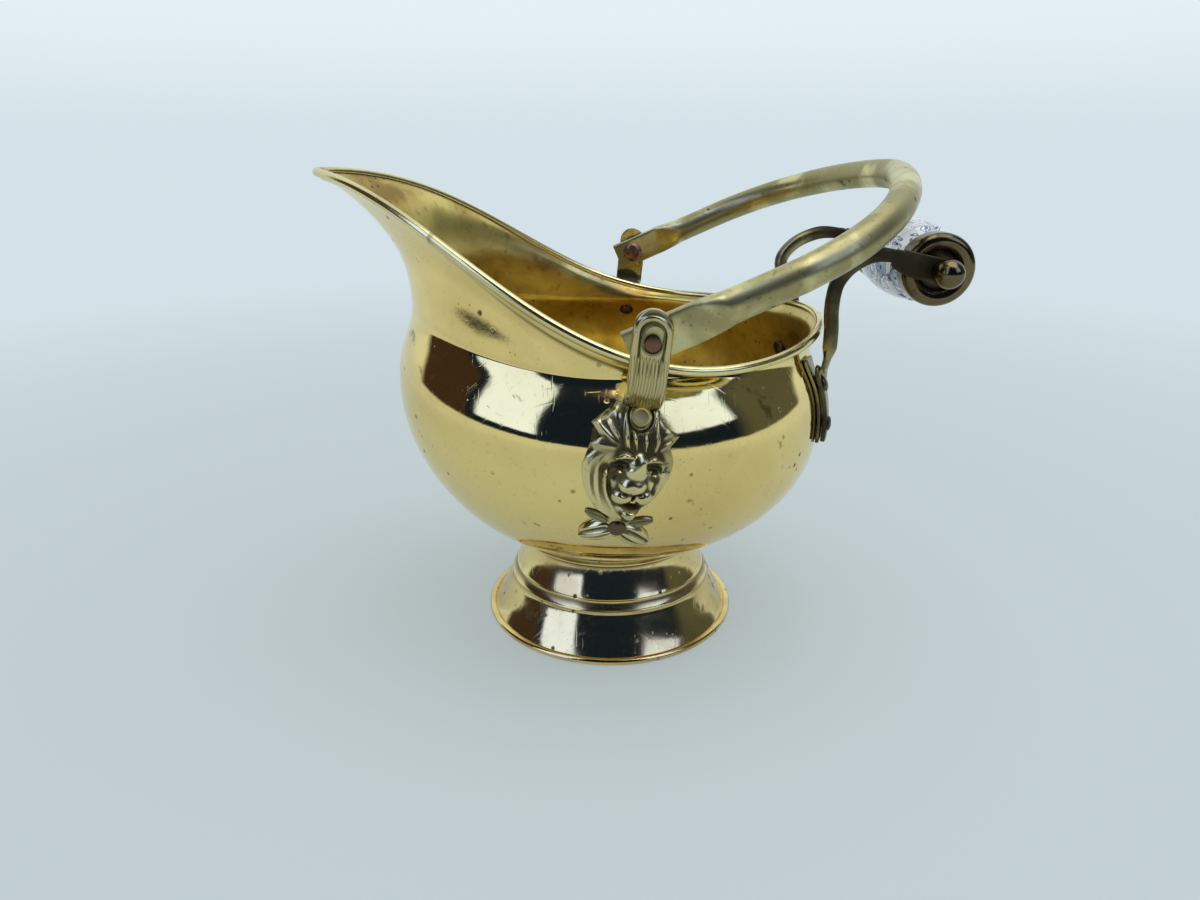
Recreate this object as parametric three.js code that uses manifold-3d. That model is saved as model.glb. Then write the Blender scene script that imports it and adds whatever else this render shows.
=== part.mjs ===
// Brass coal scuttle of the helmet shape: a spun and raised bowl on a turned foot, a swinging
// carrying bail in two cast lion-mask ears, and a fixed rear handle with a porcelain grip.
// Millimetres, +Z up, +X towards the rear handle. Left is the -Y side.
import * as THREE from 'three';
import { mergeVertices } from 'three/addons/utils/BufferGeometryUtils.js';
import Module from 'manifold-3d';

const wasm = await Module();
wasm.setup();

// ---------------------------------------------------------------- driving dimensions
const GAP = 0.3; // clearance between pieces that seat on each other
const SHEET = 1.2; // brass sheet of the bowl
const QUARTER = Math.PI / 2;
const TURN = Math.PI * 2;

// Foot, from the floor up
const FOOT_RADIUS = 80; // outside of the rolled bead that stands on the floor
const FOOT_BEAD = 4.6; // height of that bead
const FOOT_SHEET = 1.2;
const SKIRT_RADIUS = 75.5; // valley between skirt and bead
const LEDGE_RADIUS = 64; // lower ledge, on top of the skirt
const LEDGE_HEIGHT = 27.5;
const BAND_RADIUS = 61; // upper ledge
const BAND_HEIGHT = 32.5;
const STEM_RADIUS = 57; // waist of the foot
const STEM_TOP = 51;
const FOOT_TOP_RADIUS = 59;
const FOOT_HEIGHT = 56.4;
const RING_RADIUS = 60.4; // half-round ring between foot and bowl
const RING_HEIGHT = 3.8;
const RING_WIDTH = 4.6;

// Bowl: every vertical section runs seat, belly, neck, rim
const SEAT_RADIUS = 57;
const SEAT_RISE = 12; // how steeply the bottom leaves the seat, in degrees
const SEAT_CURVE = 30; // how far the bottom stays flat
const BELLY_RADIUS = 125.5;
const BELLY_FRONT = 156; // height of the widest place, front and back
const BELLY_BACK = 137;
const BELLY_CURVE = 46; // how far down the side stays upright
const NECK_FRONT = [115.6, 205]; // radius and height of the neck at the spout
const NECK_SIDE = [107.5, 183];
const NECK_BACK = [117, 182];
const NECK_FULLNESS = 0.6; // share of the height kept upright above the belly
const NECK_HOLLOW = 0.34; // share of it kept upright below the neck
const FLARE_START = 0.34; // share of the height kept upright above the neck
const FLARE_FRONT = [34, 31]; // length and angle of the lip at the rim, mm and degrees
const FLARE_SIDE = [5, 55];
const FLARE_BACK = [6, 36];

// Rim: a round back that runs forward into the spout
const RIM_RADIUS = 112.7; // half the width
const RIM_BACK = 109; // half the length of its oval back
const RIM_CENTRE = 12.1; // how far the oval sits behind the foot's axis
const RIM_LOW = 185.6; // lowest height of the rim
const RIM_BACK_RISE = 8; // the back stands this much higher
const RIM_LOW_X = 57.4; // where the rim starts to climb
const RIM_CLIMB = 97.4; // softness of the start of the climb
const SPOUT_REACH = 165.5; // tip of the spout, in front of the foot's axis
const SPOUT_HEIGHT = 272.8;
const SPOUT_LEVEL = 78.7; // softness of the end of the climb
const SPOUT_SIDE = 89.2; // how far the sides stay parallel
const SPOUT_BLUNT = 20.3; // roundness of the tip
const BEAD_RADIUS = 2.6; // rolled moulding over the rim
const BEAD_LIP = 4.8; // how far its outer lip reaches down the wall
const BEAD_LIP_SHEET = 1.1;
const BEAD_EASE = 0.1; // extra room in its slot, for the tight turn at the spout
const BEAD_SEAM = 1.2; // open butt joint of the moulding
const BEAD_SEAM_ANGLE = 24; // its place, in degrees from the back towards the right

// Ears: one cast lion mask with a strap and a loop on each side
const EAR_X_LOW = 2; // the lower rivet
const EAR_Z_LOW = 111;
const RIGHT_EAR_RAISE = 7.5; // the right ear is riveted on this much higher
const EAR_LEAN = 10.8; // the ear leans to the rear, in degrees
const EAR_FOOT_RADIUS = 6.4; // round plate under the lower rivet
const EAR_CAST = 2.4; // thickness of the casting
const EAR_RIVET_RISE = 57; // from the lower rivet to the upper one, along the ear
// Outline of the mask: up from the lower rivet, reach towards the spout and towards the rear
const MASK_OUTLINE = [
  [3, 5.6, 5.6], [6.5, 6.4, 6.2], [9.5, 12.6, 7.2], [13, 15.6, 8.8], [16.3, 18.2, 11.3],
  [21, 20.6, 15], [24.5, 21.8, 16.4], [28, 22.8, 17.6], [32, 23.3, 19], [36, 22.6, 19.5],
  [40, 19.5, 19.4], [42.5, 21.5, 18.4], [46.5, 17.5, 16.5], [51.5, 22.5, 20], [55, 17, 13.5],
  [58.5, 14, 9.5], [62, 12, 8.9],
];
const MASK_MIDDLE = [-1.8, 29]; // middle of its dome, across and up from the lower rivet
const MASK_SPREAD = [25, 27];
const MASK_DOME = 4.2;
const FACE_TOP = 40; // the face's middle line crosses the ear's a little above the brows
const FACE_LEAN = 0.104; // and runs this much to the rear for each millimetre down
const MANE_RADIUS = 15; // the mane starts this far from the middle of the face
const MANE_RELIEF = 0.9;
const MANE_LOCKS = 13;
const STRAP_HALF_WIDTH = 9.2;
const STRAP_BOTTOM = 41; // where the strap rises out of the mask, from the lower rivet
const STRAP_UPRIGHT = 0.086; // above the upper rivet the strap leans less, by this slope
const STRAP_BORDER = 1.1; // raised edge of the strap
const STRAP_LEAVES_WALL = MASK_OUTLINE[MASK_OUTLINE.length - 1][0];
const LOOP_ABOVE_PIVOT = 15;
const SLOT_RISE = 3.6; // the slot is this much longer than it is wide
const LEAF_LENGTH = 20;
const LEAF_HALF_WIDTH = 6.4;
const LEAF_DROOP = 34; // angle of the two leaves below the mask, in degrees
const LEAF_HEIGHT = 2.6;

// Bail
const PIVOT_X = 17;
const PIVOT_Z = 206; // in the left ear
const PIVOT_SHANK = 3.8; // radius of the pivot rivets
const EAR_FACE = 130; // inner face of the ears, from the middle
const BAIL_TUBE = 8; // radius
const BAIL_FLAT = [3, 9.2]; // half thickness and half width of the flattened ends
const BAIL_TAIL = 11.5; // end of the flat beyond the pivot
const BAIL_CREASE = 23; // from the pivot to where the flattening ends
const BAIL_HALF_WIDTH = 125; // tube's middle along the legs
const BAIL_REACH = 154; // from the pivot to the crown
const BAIL_LEG = 60; // straight part of a leg
const BAIL_SHOULDER = 65; // roundness of the shoulders
const BAIL_CROWN = 36; // roundness of the crown
const BAIL_RAISED = 23.8; // angle above level at which the bail stands

// Rear handle
const GRIP_X = 171.8;
const GRIP_Z = 226;
const GRIP_HALF_LENGTH = 45.4;
const GRIP_RADIUS = 23; // middle of the barrel
const GRIP_END_RADIUS = 16.9; // turns freely in the caps
const ROD_RADIUS = 3;
const CAP_RADIUS = 19.2;
const CAP_SKIRT = 5.5; // how far a cap covers the barrel
const CAP_DEPTH = 6.6; // from the end of the barrel to the top of the shoulder
const CAP_FLOOR = 1.4;
const CAP_WALL = 1.7;
const PADDLE_THICKNESS = 3;
const PADDLE_HALF_WIDTH = 6.6;
const NUT_RADIUS = 7.65;
const NUT_FLANGE = 6.4;
const ARM_ROD = 3.95; // radius
const TAIL_Y = 45; // middle of the riveted tails
const TAIL_BOTTOM = 131;
const TAIL_HALF_WIDTH = 5.6;
const TAIL_THICKNESS = 2.6;
const BACKING_THICKNESS = 2;
const BACKING_HALF_WIDTH = 6.4;
const TAIL_TOP = 166.4; // where it leaves the wall
const TAIL_EASE = 0.2; // extra room under a tail, for the curve of the wall
const ARM_RIVETS = [140, 161.5]; // heights of the lower and upper rivets
const RIGHT_ARM_LEAN = 8.5; // the right arm is bent this much further in, above the rim

// Rivets: radius and height of each head
const RIVET_SHANK = 2.2;
const EAR_RIVET_HEAD = [4.9, 1.9];
const ARM_RIVET_HEAD = [4.2, 1.6];
const EAR_INSIDE_HEAD = [4.8, 2.4];
const ARM_INSIDE_HEAD = [5.8, 3.2];
const PIVOT_HEAD = [6.5, 3.2];
const HOLE_REACH = 8; // a rivet's hole is cut this far to each side of the wall's outer face
const SPOT_DEPTH = 4; // depth of the cut that makes a flat for a rivet's head
const PIVOT_END = 1; // the pivot's outer end stands this far out of the slot

// Fineness of the faceted surfaces
const COLUMNS = [18, 22]; // from the moulding's seam to the spout's tip, and from there back to it
const CROWDING = 0.14; // how much closer together they are at the tip
const FOOT_COLUMNS = 32;
const ROUND = 18;
const PIVOT_ROUND = 12;
const BAIL_ROUND = 10;
const SMALL_ROUND = 8;

// ---------------------------------------------------------------- finishes
const finish = (color, roughness, metalness) =>
  new THREE.MeshStandardMaterial({ color, roughness, metalness });
const brass = finish(0xc9a85a, 0.25, 1);
const oldBrass = finish(0xa08a4c, 0.4, 1);
const castBrass = finish(0xb09248, 0.35, 1);
const darkBrass = finish(0x6e5a30, 0.45, 1);
const copper = finish(0x7a4a3c, 0.5, 1);
const porcelain = finish(0xe6ecf2, 0.12, 0);

// ---------------------------------------------------------------- small tools
const radians = THREE.MathUtils.degToRad;
const lerp = THREE.MathUtils.lerp;
const v2 = (x, y) => new THREE.Vector2(x, y);
const v3 = (x, y, z) => new THREE.Vector3(x, y, z);

// Where an increasing function reaches a value
function solve(fn, low, high, value) {
  for (let i = 0; i < 36; i += 1) {
    const middle = (low + high) / 2;
    if (fn(middle) < value) low = middle;
    else high = middle;
  }
  return (low + high) / 2;
}

function steps(from, to, count) {
  return Array.from({ length: count + 1 }, (_, i) => lerp(from, to, i / count));
}

function smooth(value, from, to) {
  return THREE.MathUtils.smoothstep(value, from, to);
}

function signedVolume(points, index) {
  let sum = 0;
  for (let i = 0; i < index.length; i += 3) {
    const [a, b, c] = [points[index[i]], points[index[i + 1]], points[index[i + 2]]];
    sum += a.dot(b.clone().cross(c));
  }
  return sum / 6;
}

// A closed body through a row of rings with equal numbers of points. Its two ends are closed
// by fans, or by the triangles of endShape where the rings are hollow on one side.
function loft(rings, endShape) {
  const count = rings[0].length;
  const points = rings.flat();
  const index = [];
  for (let i = 0; i + 1 < rings.length; i += 1) {
    for (let j = 0; j < count; j += 1) {
      const a = i * count + j;
      const b = i * count + ((j + 1) % count);
      index.push(a, b, b + count, a, b + count, a + count);
    }
  }
  const last = (rings.length - 1) * count;
  if (endShape) {
    for (const [a, b, c] of THREE.ShapeUtils.triangulateShape(endShape, [])) {
      const turned = THREE.ShapeUtils.isClockWise(endShape) ? [b, a, c] : [a, b, c];
      index.push(turned[1], turned[0], turned[2]);
      index.push(last + turned[0], last + turned[1], last + turned[2]);
    }
  } else {
    for (const [start, ring] of [[0, rings[0]], [last, rings[rings.length - 1]]]) {
      const centre = points.length;
      points.push(ring.reduce((sum, p) => sum.add(p), v3(0, 0, 0)).divideScalar(count));
      for (let j = 0; j < count; j += 1) {
        const a = start + j;
        const b = start + ((j + 1) % count);
        if (start === 0) index.push(b, a, centre);
        else index.push(a, b, centre);
      }
    }
  }
  if (signedVolume(points, index) < 0) index.reverse();
  const geometry = new THREE.BufferGeometry().setFromPoints(points);
  geometry.setIndex(index);
  return geometry;
}

function toSolid(geometry) {
  const bare = geometry.clone();
  bare.deleteAttribute('normal');
  bare.deleteAttribute('uv');
  const merged = mergeVertices(bare, 1e-4);
  const vertProperties = Float32Array.from(merged.attributes.position.array);
  const triVerts = Uint32Array.from(merged.index.array);
  return new wasm.Manifold(new wasm.Mesh({ numProp: 3, vertProperties, triVerts }));
}

function toGeometry(solid) {
  const mesh = solid.getMesh();
  const geometry = new THREE.BufferGeometry();
  geometry.setAttribute('position', new THREE.BufferAttribute(mesh.vertProperties, 3));
  geometry.setIndex(new THREE.BufferAttribute(mesh.triVerts, 1));
  return geometry;
}

function cut(geometry, tools) {
  return toGeometry(tools.reduce((body, tool) => body.subtract(toSolid(tool)), toSolid(geometry)));
}

function join(geometries) {
  return toGeometry(geometries.map(toSolid).reduce((a, b) => a.add(b)));
}

function lathe(profile, segments) {
  return new THREE.LatheGeometry(profile.map(([r, y]) => v2(r, y)), segments);
}

// A round bar along a direction, used for holes and slots
function bar(radius, length, centre, direction, segments = SMALL_ROUND) {
  const geometry = new THREE.CylinderGeometry(radius, radius, length, segments);
  const turn = new THREE.Quaternion().setFromUnitVectors(v3(0, 1, 0), direction);
  geometry.applyQuaternion(turn);
  geometry.translate(centre.x, centre.y, centre.z);
  return geometry;
}

// ---------------------------------------------------------------- the bowl's surface
// Front, side and back values run smoothly into each other round the bowl.
function round(phi, front, side, back) {
  const c = Math.cos(phi);
  const toFront = Math.max(0, -c) ** 2;
  const toBack = Math.max(0, c) ** 2;
  return side + (front - side) * toFront + (back - side) * toBack;
}

const spoutPlan = new THREE.CubicBezierCurve(
  v2(RIM_CENTRE, RIM_RADIUS),
  v2(RIM_CENTRE - SPOUT_SIDE, RIM_RADIUS),
  v2(-SPOUT_REACH, SPOUT_BLUNT),
  v2(-SPOUT_REACH, 0),
);
const spoutClimb = new THREE.CubicBezierCurve(
  v2(RIM_LOW_X, RIM_LOW),
  v2(RIM_LOW_X - RIM_CLIMB, RIM_LOW),
  v2(SPOUT_LEVEL - SPOUT_REACH, SPOUT_HEIGHT - 0.05 * SPOUT_LEVEL),
  v2(-SPOUT_REACH, SPOUT_HEIGHT),
);

function rimHeight(x) {
  const back = RIM_CENTRE + RIM_BACK - RIM_LOW_X;
  if (x >= RIM_LOW_X) return RIM_LOW + RIM_BACK_RISE * ((x - RIM_LOW_X) / back) ** 2;
  return spoutClimb.getPoint(solve((t) => -spoutClimb.getPoint(t).x, 0, 1, -x)).y;
}

// Radius and height of the rim's middle line at a plan angle from the back
function rimAt(phi) {
  const angle = Math.abs(Math.atan2(Math.sin(phi), Math.cos(phi)));
  let radius;
  if (angle <= Math.atan2(RIM_RADIUS, RIM_CENTRE)) {
    const a = (Math.cos(angle) / RIM_BACK) ** 2 + (Math.sin(angle) / RIM_RADIUS) ** 2;
    const b = (RIM_CENTRE * Math.cos(angle)) / RIM_BACK ** 2;
    const c = (RIM_CENTRE / RIM_BACK) ** 2 - 1;
    radius = (b + Math.sqrt(b * b - a * c)) / a;
  } else {
    const t = solve((s) => spoutPlan.getPoint(s).angle(), 0, 1, angle);
    radius = spoutPlan.getPoint(t).length();
  }
  return [radius, rimHeight(radius * Math.cos(angle))];
}

const RING_TOP = FOOT_HEIGHT + GAP + RING_HEIGHT;
const SEAT_HEIGHT = RING_TOP + GAP;
const sections = new Map();

// The three curves of the wall's section at a plan angle, in radius and height
function wallSection(phi) {
  if (sections.has(phi)) return sections.get(phi);
  const rise = radians(SEAT_RISE);
  const seat = v2(SEAT_RADIUS, SEAT_HEIGHT);
  const belly = v2(BELLY_RADIUS, lerp(BELLY_BACK, BELLY_FRONT, (1 - Math.cos(phi)) / 2));
  const neck = v2(
    round(phi, NECK_FRONT[0], NECK_SIDE[0], NECK_BACK[0]),
    round(phi, NECK_FRONT[1], NECK_SIDE[1], NECK_BACK[1]),
  );
  const rim = v2(...rimAt(phi));
  const climb = neck.y - belly.y;
  const flare = round(phi, FLARE_FRONT[0], FLARE_SIDE[0], FLARE_BACK[0]);
  const lean = radians(round(phi, FLARE_FRONT[1], FLARE_SIDE[1], FLARE_BACK[1]));
  const curves = [
    new THREE.CubicBezierCurve(
      seat,
      v2(seat.x + SEAT_CURVE * Math.cos(rise), seat.y + SEAT_CURVE * Math.sin(rise)),
      v2(belly.x, belly.y - BELLY_CURVE),
      belly,
    ),
    new THREE.CubicBezierCurve(
      belly,
      v2(belly.x, belly.y + NECK_FULLNESS * climb),
      v2(neck.x, neck.y - NECK_HOLLOW * climb),
      neck,
    ),
    new THREE.CubicBezierCurve(
      neck,
      v2(neck.x, neck.y + FLARE_START * (rim.y - neck.y)),
      v2(rim.x - flare * Math.cos(lean), rim.y - flare * Math.sin(lean)),
      rim,
    ),
  ];
  sections.set(phi, curves);
  return curves;
}

// A point of the wall's outer face: s runs 0 seat, 1 belly, 2 neck, 3 rim
function wallPoint(phi, s) {
  const span = Math.min(2, Math.floor(s));
  const p = wallSection(phi)[span].getPoint(s - span);
  return v3(p.x * Math.cos(phi), p.x * Math.sin(phi), p.y);
}

function wallNormal(phi, s) {
  const step = 0.004;
  const across = wallPoint(phi + step, s).sub(wallPoint(phi - step, s));
  const up = wallPoint(phi, Math.min(3, s + step)).sub(wallPoint(phi, Math.max(0, s - step)));
  return across.cross(up).normalize();
}

// Columns round the bowl, and rows up to the neck. The sheet is made flat between them.
const seamMiddle = radians(BEAD_SEAM_ANGLE);
const seamHalf = BEAD_SEAM / 2 / (RIM_BACK + RIM_CENTRE);
const fromTip = (share) => share * (1 - CROWDING + CROWDING * share);
const columns = [
  ...steps(1, 0, COLUMNS[0]).map((share) => {
    return Math.PI - fromTip(share) * (Math.PI - seamMiddle - seamHalf);
  }),
  ...steps(0, 1, COLUMNS[1]).slice(1).map((share) => {
    return Math.PI + fromTip(share) * (Math.PI + seamMiddle - seamHalf);
  }),
];
const lowRows = [...steps(0, 1, 7), 1.3, 1.65, 2];

// The same point on the flat facets between columns and rows
function facetPoint(phi, s) {
  if (s >= 2) return wallPoint(phi, s);
  const angle = columns[0] + THREE.MathUtils.euclideanModulo(phi - columns[0], TURN);
  const i = columns.findLastIndex((column) => column <= angle);
  const [before, after] = [columns[i], columns[i + 1] ?? columns[0] + TURN];
  const k = lowRows.findIndex((row) => row > s) - 1;
  const up = (s - lowRows[k]) / (lowRows[k + 1] - lowRows[k]);
  const edges = [before, after].map((column) => {
    return wallPoint(column, lowRows[k]).lerp(wallPoint(column, lowRows[k + 1]), up);
  });
  return edges[0].lerp(edges[1], (angle - before) / (after - before));
}

// A place on the wall at a given height: turn says which way round it lies from its distance
function findSeat(start, turn, z) {
  let phi = start;
  let s = 1;
  for (let i = 0; i < 10; i += 1) {
    s = solve((t) => facetPoint(phi, t).z, 0, 3, z);
    const p = facetPoint(phi, s);
    phi = turn(Math.hypot(p.x, p.y));
  }
  return { point: facetPoint(phi, s), normal: wallNormal(phi, s) };
}

// On the left (-1) or right (+1) side at a given x, and at the back at a given y
const wallSeat = (x, z, side) => findSeat(side * QUARTER, (r) => side * Math.acos(x / r), z);
const backSeat = (y, z) => findSeat(0, (r) => Math.asin(y / r), z);

function lifted(seat, lift) {
  return seat.point.clone().addScaledVector(seat.normal, lift);
}

// The wall is straight from here to the rim, where the moulding grips it
function edgeStart(phi) {
  const rim = wallPoint(phi, 3);
  const length = BEAD_LIP + 1.2;
  return solve((s) => -wallPoint(phi, s).distanceTo(rim), 2, 3, -length);
}

// Rings of the wall's outer face from seat to rim, moved outwards by lift
function wallRings(lift) {
  const high = [0.33, 0.67, 1].map((share) => (phi) => lerp(2, edgeStart(phi), share));
  const rows = [...lowRows.map((s) => () => s), ...high, () => 3];
  return rows.map((row) => columns.map((phi) => {
    const s = row(phi);
    return wallPoint(phi, s).addScaledVector(wallNormal(phi, s), lift);
  }));
}

// Solid bowls: one as large as the clearance outside the wall, one inside it
const outsideWall = loft(wallRings(GAP));
const insideWall = loft(wallRings(-SHEET - GAP));
const SUNK = -0.8; // pieces on the wall are built down to here, then cut back to the clearance

// ---------------------------------------------------------------- rivets
// The pile is the height of everything under its outer head, from the wall's outer face
function rivetGeometry(seat, pile, head, inside, flat) {
  const [outerRadius, outerHeight] = head;
  const [innerRadius, innerHeight] = inside;
  const top = pile + GAP;
  const under = -SHEET - GAP;
  const crown = flat
    ? [[outerRadius, top + 0.6 * outerHeight], [0.8 * outerRadius, top + outerHeight],
      [0.66 * outerRadius, top + 0.7 * outerHeight]]
    : [[outerRadius, top + 0.25 * outerHeight], [0.78 * outerRadius, top + 0.75 * outerHeight],
      [0.4 * outerRadius, top + 0.97 * outerHeight]];
  const outside = lathe([
    [0, under - 1],
    [RIVET_SHANK, under - 1],
    [RIVET_SHANK, top],
    [outerRadius, top],
    ...crown,
    [0, top + (flat ? 0.7 : 1) * outerHeight],
  ], SMALL_ROUND);
  const button = lathe([
    [0, under - innerHeight],
    [0.7 * innerRadius, under - 0.75 * innerHeight],
    [innerRadius, under - 0.2 * innerHeight],
    [innerRadius, 0],
    [0, 0],
  ], SMALL_ROUND);
  const turn = new THREE.Quaternion().setFromUnitVectors(v3(0, 1, 0), seat.normal);
  const [body, inner] = [outside, button].map((geometry) => {
    return toSolid(geometry.applyQuaternion(turn).translate(...seat.point));
  });
  return toGeometry(body.add(inner.intersect(toSolid(insideWall))));
}

function rivetHole(seat) {
  return bar(RIVET_SHANK + GAP, 2 * HOLE_REACH, seat.point, seat.normal);
}

// Cuts a flat for a rivet's head at a height above the wall
function spotFace(seat, height, radius) {
  return bar(radius + GAP, SPOT_DEPTH, lifted(seat, height + SPOT_DEPTH / 2), seat.normal);
}

// ---------------------------------------------------------------- ears
const earDirection = v3(Math.sin(radians(EAR_LEAN)), 0, Math.cos(radians(EAR_LEAN)));
const earAcross = v3(Math.cos(radians(EAR_LEAN)), 0, -Math.sin(radians(EAR_LEAN)));

const earRaise = (side) => (side > 0 ? RIGHT_EAR_RAISE : 0);

// The ear's middle line: v is the way along the ear from the lower rivet
function earLine(v, side) {
  const back = STRAP_UPRIGHT * Math.max(0, v - EAR_RIVET_RISE);
  const start = v3(EAR_X_LOW, 0, EAR_Z_LOW + earRaise(side)).addScaledVector(earAcross, -back);
  return start.addScaledVector(earDirection, v);
}

function earSeat(u, v, side) {
  const p = earLine(v, side).addScaledVector(earAcross, u);
  return wallSeat(p.x, p.z, side);
}

function earHalfWidth(v, way) {
  if (v < MASK_OUTLINE[0][0]) return Math.sqrt(Math.max(1, EAR_FOOT_RADIUS ** 2 - v ** 2));
  const row = MASK_OUTLINE.findLast(([up]) => up <= v);
  return way < 0 ? row[1] : row[2];
}

// The face, as soft bumps and hollows: across from its middle, up from the lower rivet,
// wide, tall, height
const FACE = {
  brow: [5.6, 40, 4.4, 2.3, 2.6],
  eye: [8.3, 34, 3.2, 1.9, -2.2],
  bridge: [0, 35.5, 3, 5, 2.2],
  nose: [0, 31, 4.3, 3.3, 3.4],
  muzzle: [5, 22, 4.2, 3.5, 2.4],
  mouth: [0, 16.8, 5.2, 1.5, -2.4],
  chin: [0, 12.4, 4.2, 2.6, 1.8],
  cheek: [13.5, 30, 3.2, 6.5, 1.1],
};

function earThickness(u, v) {
  const [middleU, middleV] = MASK_MIDDLE;
  const [spreadU, spreadV] = MASK_SPREAD;
  const near = 1 - ((u - middleU) / spreadU) ** 2 - ((v - middleV) / spreadV) ** 2;
  let height = EAR_CAST + MASK_DOME * Math.max(0, near);
  const fromFace = u - FACE_LEAN * (FACE_TOP - v);
  for (const [across, up, wide, tall, bump] of Object.values(FACE)) {
    const out = ((Math.abs(fromFace) - across) / wide) ** 2 + ((v - up) / tall) ** 2;
    height += bump * Math.exp(-out);
  }
  const radius = Math.hypot(fromFace, v - middleV);
  const mane = smooth(radius, MANE_RADIUS - 2, MANE_RADIUS + 2) * smooth(near, 0, 0.2);
  height += MANE_RELIEF * mane * Math.cos(MANE_LOCKS * Math.atan2(v - middleV, fromFace));
  const strap = smooth(v, STRAP_BOTTOM, STRAP_BOTTOM + 4);
  const inStrap = Math.abs(u) <= STRAP_HALF_WIDTH ? strap : 0;
  const rib = STRAP_BORDER * smooth(Math.abs(u), 5.2, 7) + 0.5 * Math.cos(u * 1.9) ** 2;
  const strapHeight = EAR_CAST + rib + 2.2 * (1 - smooth(v, STRAP_BOTTOM, EAR_RIVET_RISE - 6));
  height = lerp(height, strapHeight, inStrap);
  const flatFoot = 1 - smooth(v, EAR_RIVET_RISE * 0.06, EAR_RIVET_RISE * 0.16);
  return lerp(height, EAR_CAST, flatFoot);
}

const EAR_PILE = GAP + EAR_CAST;
const ACROSS = [-1, -0.78, -0.5, -0.25, 0, 0.25, 0.5, 0.78, 1];
const ACROSS_BACK = [1, 0.4, -0.4, -1];
const pivotAlong = (PIVOT_Z - EAR_Z_LOW) / Math.cos(radians(EAR_LEAN));
const loopMiddle = pivotAlong + LOOP_ABOVE_PIVOT - STRAP_HALF_WIDTH;

// A ring of the part of the ear that lies on the wall
function wallRing(v, side) {
  const edge = (share) => share * earHalfWidth(v, Math.sign(share));
  const thin = (share) => (Math.abs(share) === 1 ? 0.55 : 1);
  const front = ACROSS.map((share) => {
    const u = edge(share);
    return lifted(earSeat(u, v, side), GAP + thin(share) * earThickness(u, v));
  });
  const back = ACROSS_BACK.map((share) => lifted(earSeat(edge(share), v, side), SUNK));
  return [...front, ...back];
}

// The bail's axis runs through both ears, so it leans with the higher one
const axisTilt = Math.atan2(RIGHT_EAR_RAISE, 2 * EAR_FACE);
const loopFace = (v, side) => EAR_FACE - side * (v - pivotAlong) * Math.tan(axisTilt);
const LOOP_FOOT = 15.5; // the flat of the loop starts this far below the pivot

// The strap's inner face from the wall to the loop: distance from the middle, way along
function strapRise(side) {
  const leave = Math.abs(earSeat(0, STRAP_LEAVES_WALL, side).point.y) + GAP;
  const foot = pivotAlong - LOOP_FOOT;
  return new THREE.CubicBezierCurve(
    v2(leave, STRAP_LEAVES_WALL),
    v2(leave + 7, STRAP_LEAVES_WALL + 6),
    v2(loopFace(foot - 11, side), foot - 11),
    v2(loopFace(foot, side), foot),
  );
}

// A ring of the strap above the wall: out is the distance of its inner face from the middle
function freeRing(v, out, slope, halfWidth, side) {
  const normal = v3(0, side * Math.cos(slope), -Math.sin(slope));
  const place = (share, lift) => {
    const p = earLine(v, side).addScaledVector(earAcross, share * halfWidth);
    return p.setY(side * out).addScaledVector(normal, lift);
  };
  const hollow = 1 - smooth(v, pivotAlong - 9, pivotAlong - 6);
  const front = ACROSS.map((share) => {
    const u = share * STRAP_HALF_WIDTH;
    const rise = v > pivotAlong ? Math.max(0, v - pivotAlong - SLOT_RISE) : 0;
    const fromSlot = v < pivotAlong - 6 ? Math.abs(u) : Math.hypot(share * halfWidth, rise);
    const border = STRAP_BORDER * 1.4 * smooth(fromSlot, 5.4, 6.8);
    const height = EAR_CAST + border + 0.5 * hollow * Math.cos(u * 1.9) ** 2;
    return place(share, Math.abs(share) === 1 ? 0.6 * height : height);
  });
  return [...front, ...ACROSS_BACK.map((share) => place(share, 0))];
}

function leafGeometry(way, side) {
  const angle = radians(LEAF_DROOP);
  const rings = steps(0, 1, 5).map((t) => {
    const along = lerp(2, LEAF_LENGTH, t);
    const half = LEAF_HALF_WIDTH * Math.sqrt(Math.sin(Math.PI * lerp(0.16, 0.97, t)));
    const spread = [[-1, 0], [-0.7, 0.55], [0, 1], [0.7, 0.55], [1, 0]];
    const ring = spread.map(([share, lift]) => {
      const u = way * (along * Math.cos(angle) + share * half * Math.sin(angle));
      const v = share * half * Math.cos(angle) - along * Math.sin(angle);
      return lifted(earSeat(u, v, side), GAP + 0.8 + lift * LEAF_HEIGHT);
    });
    const under = [0.5, -0.5].map((share) => {
      const u = way * (along * Math.cos(angle) + share * half * Math.sin(angle));
      const v = share * half * Math.cos(angle) - along * Math.sin(angle);
      return lifted(earSeat(u, v, side), SUNK);
    });
    return [...ring, ...under];
  });
  return loft(rings);
}

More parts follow.
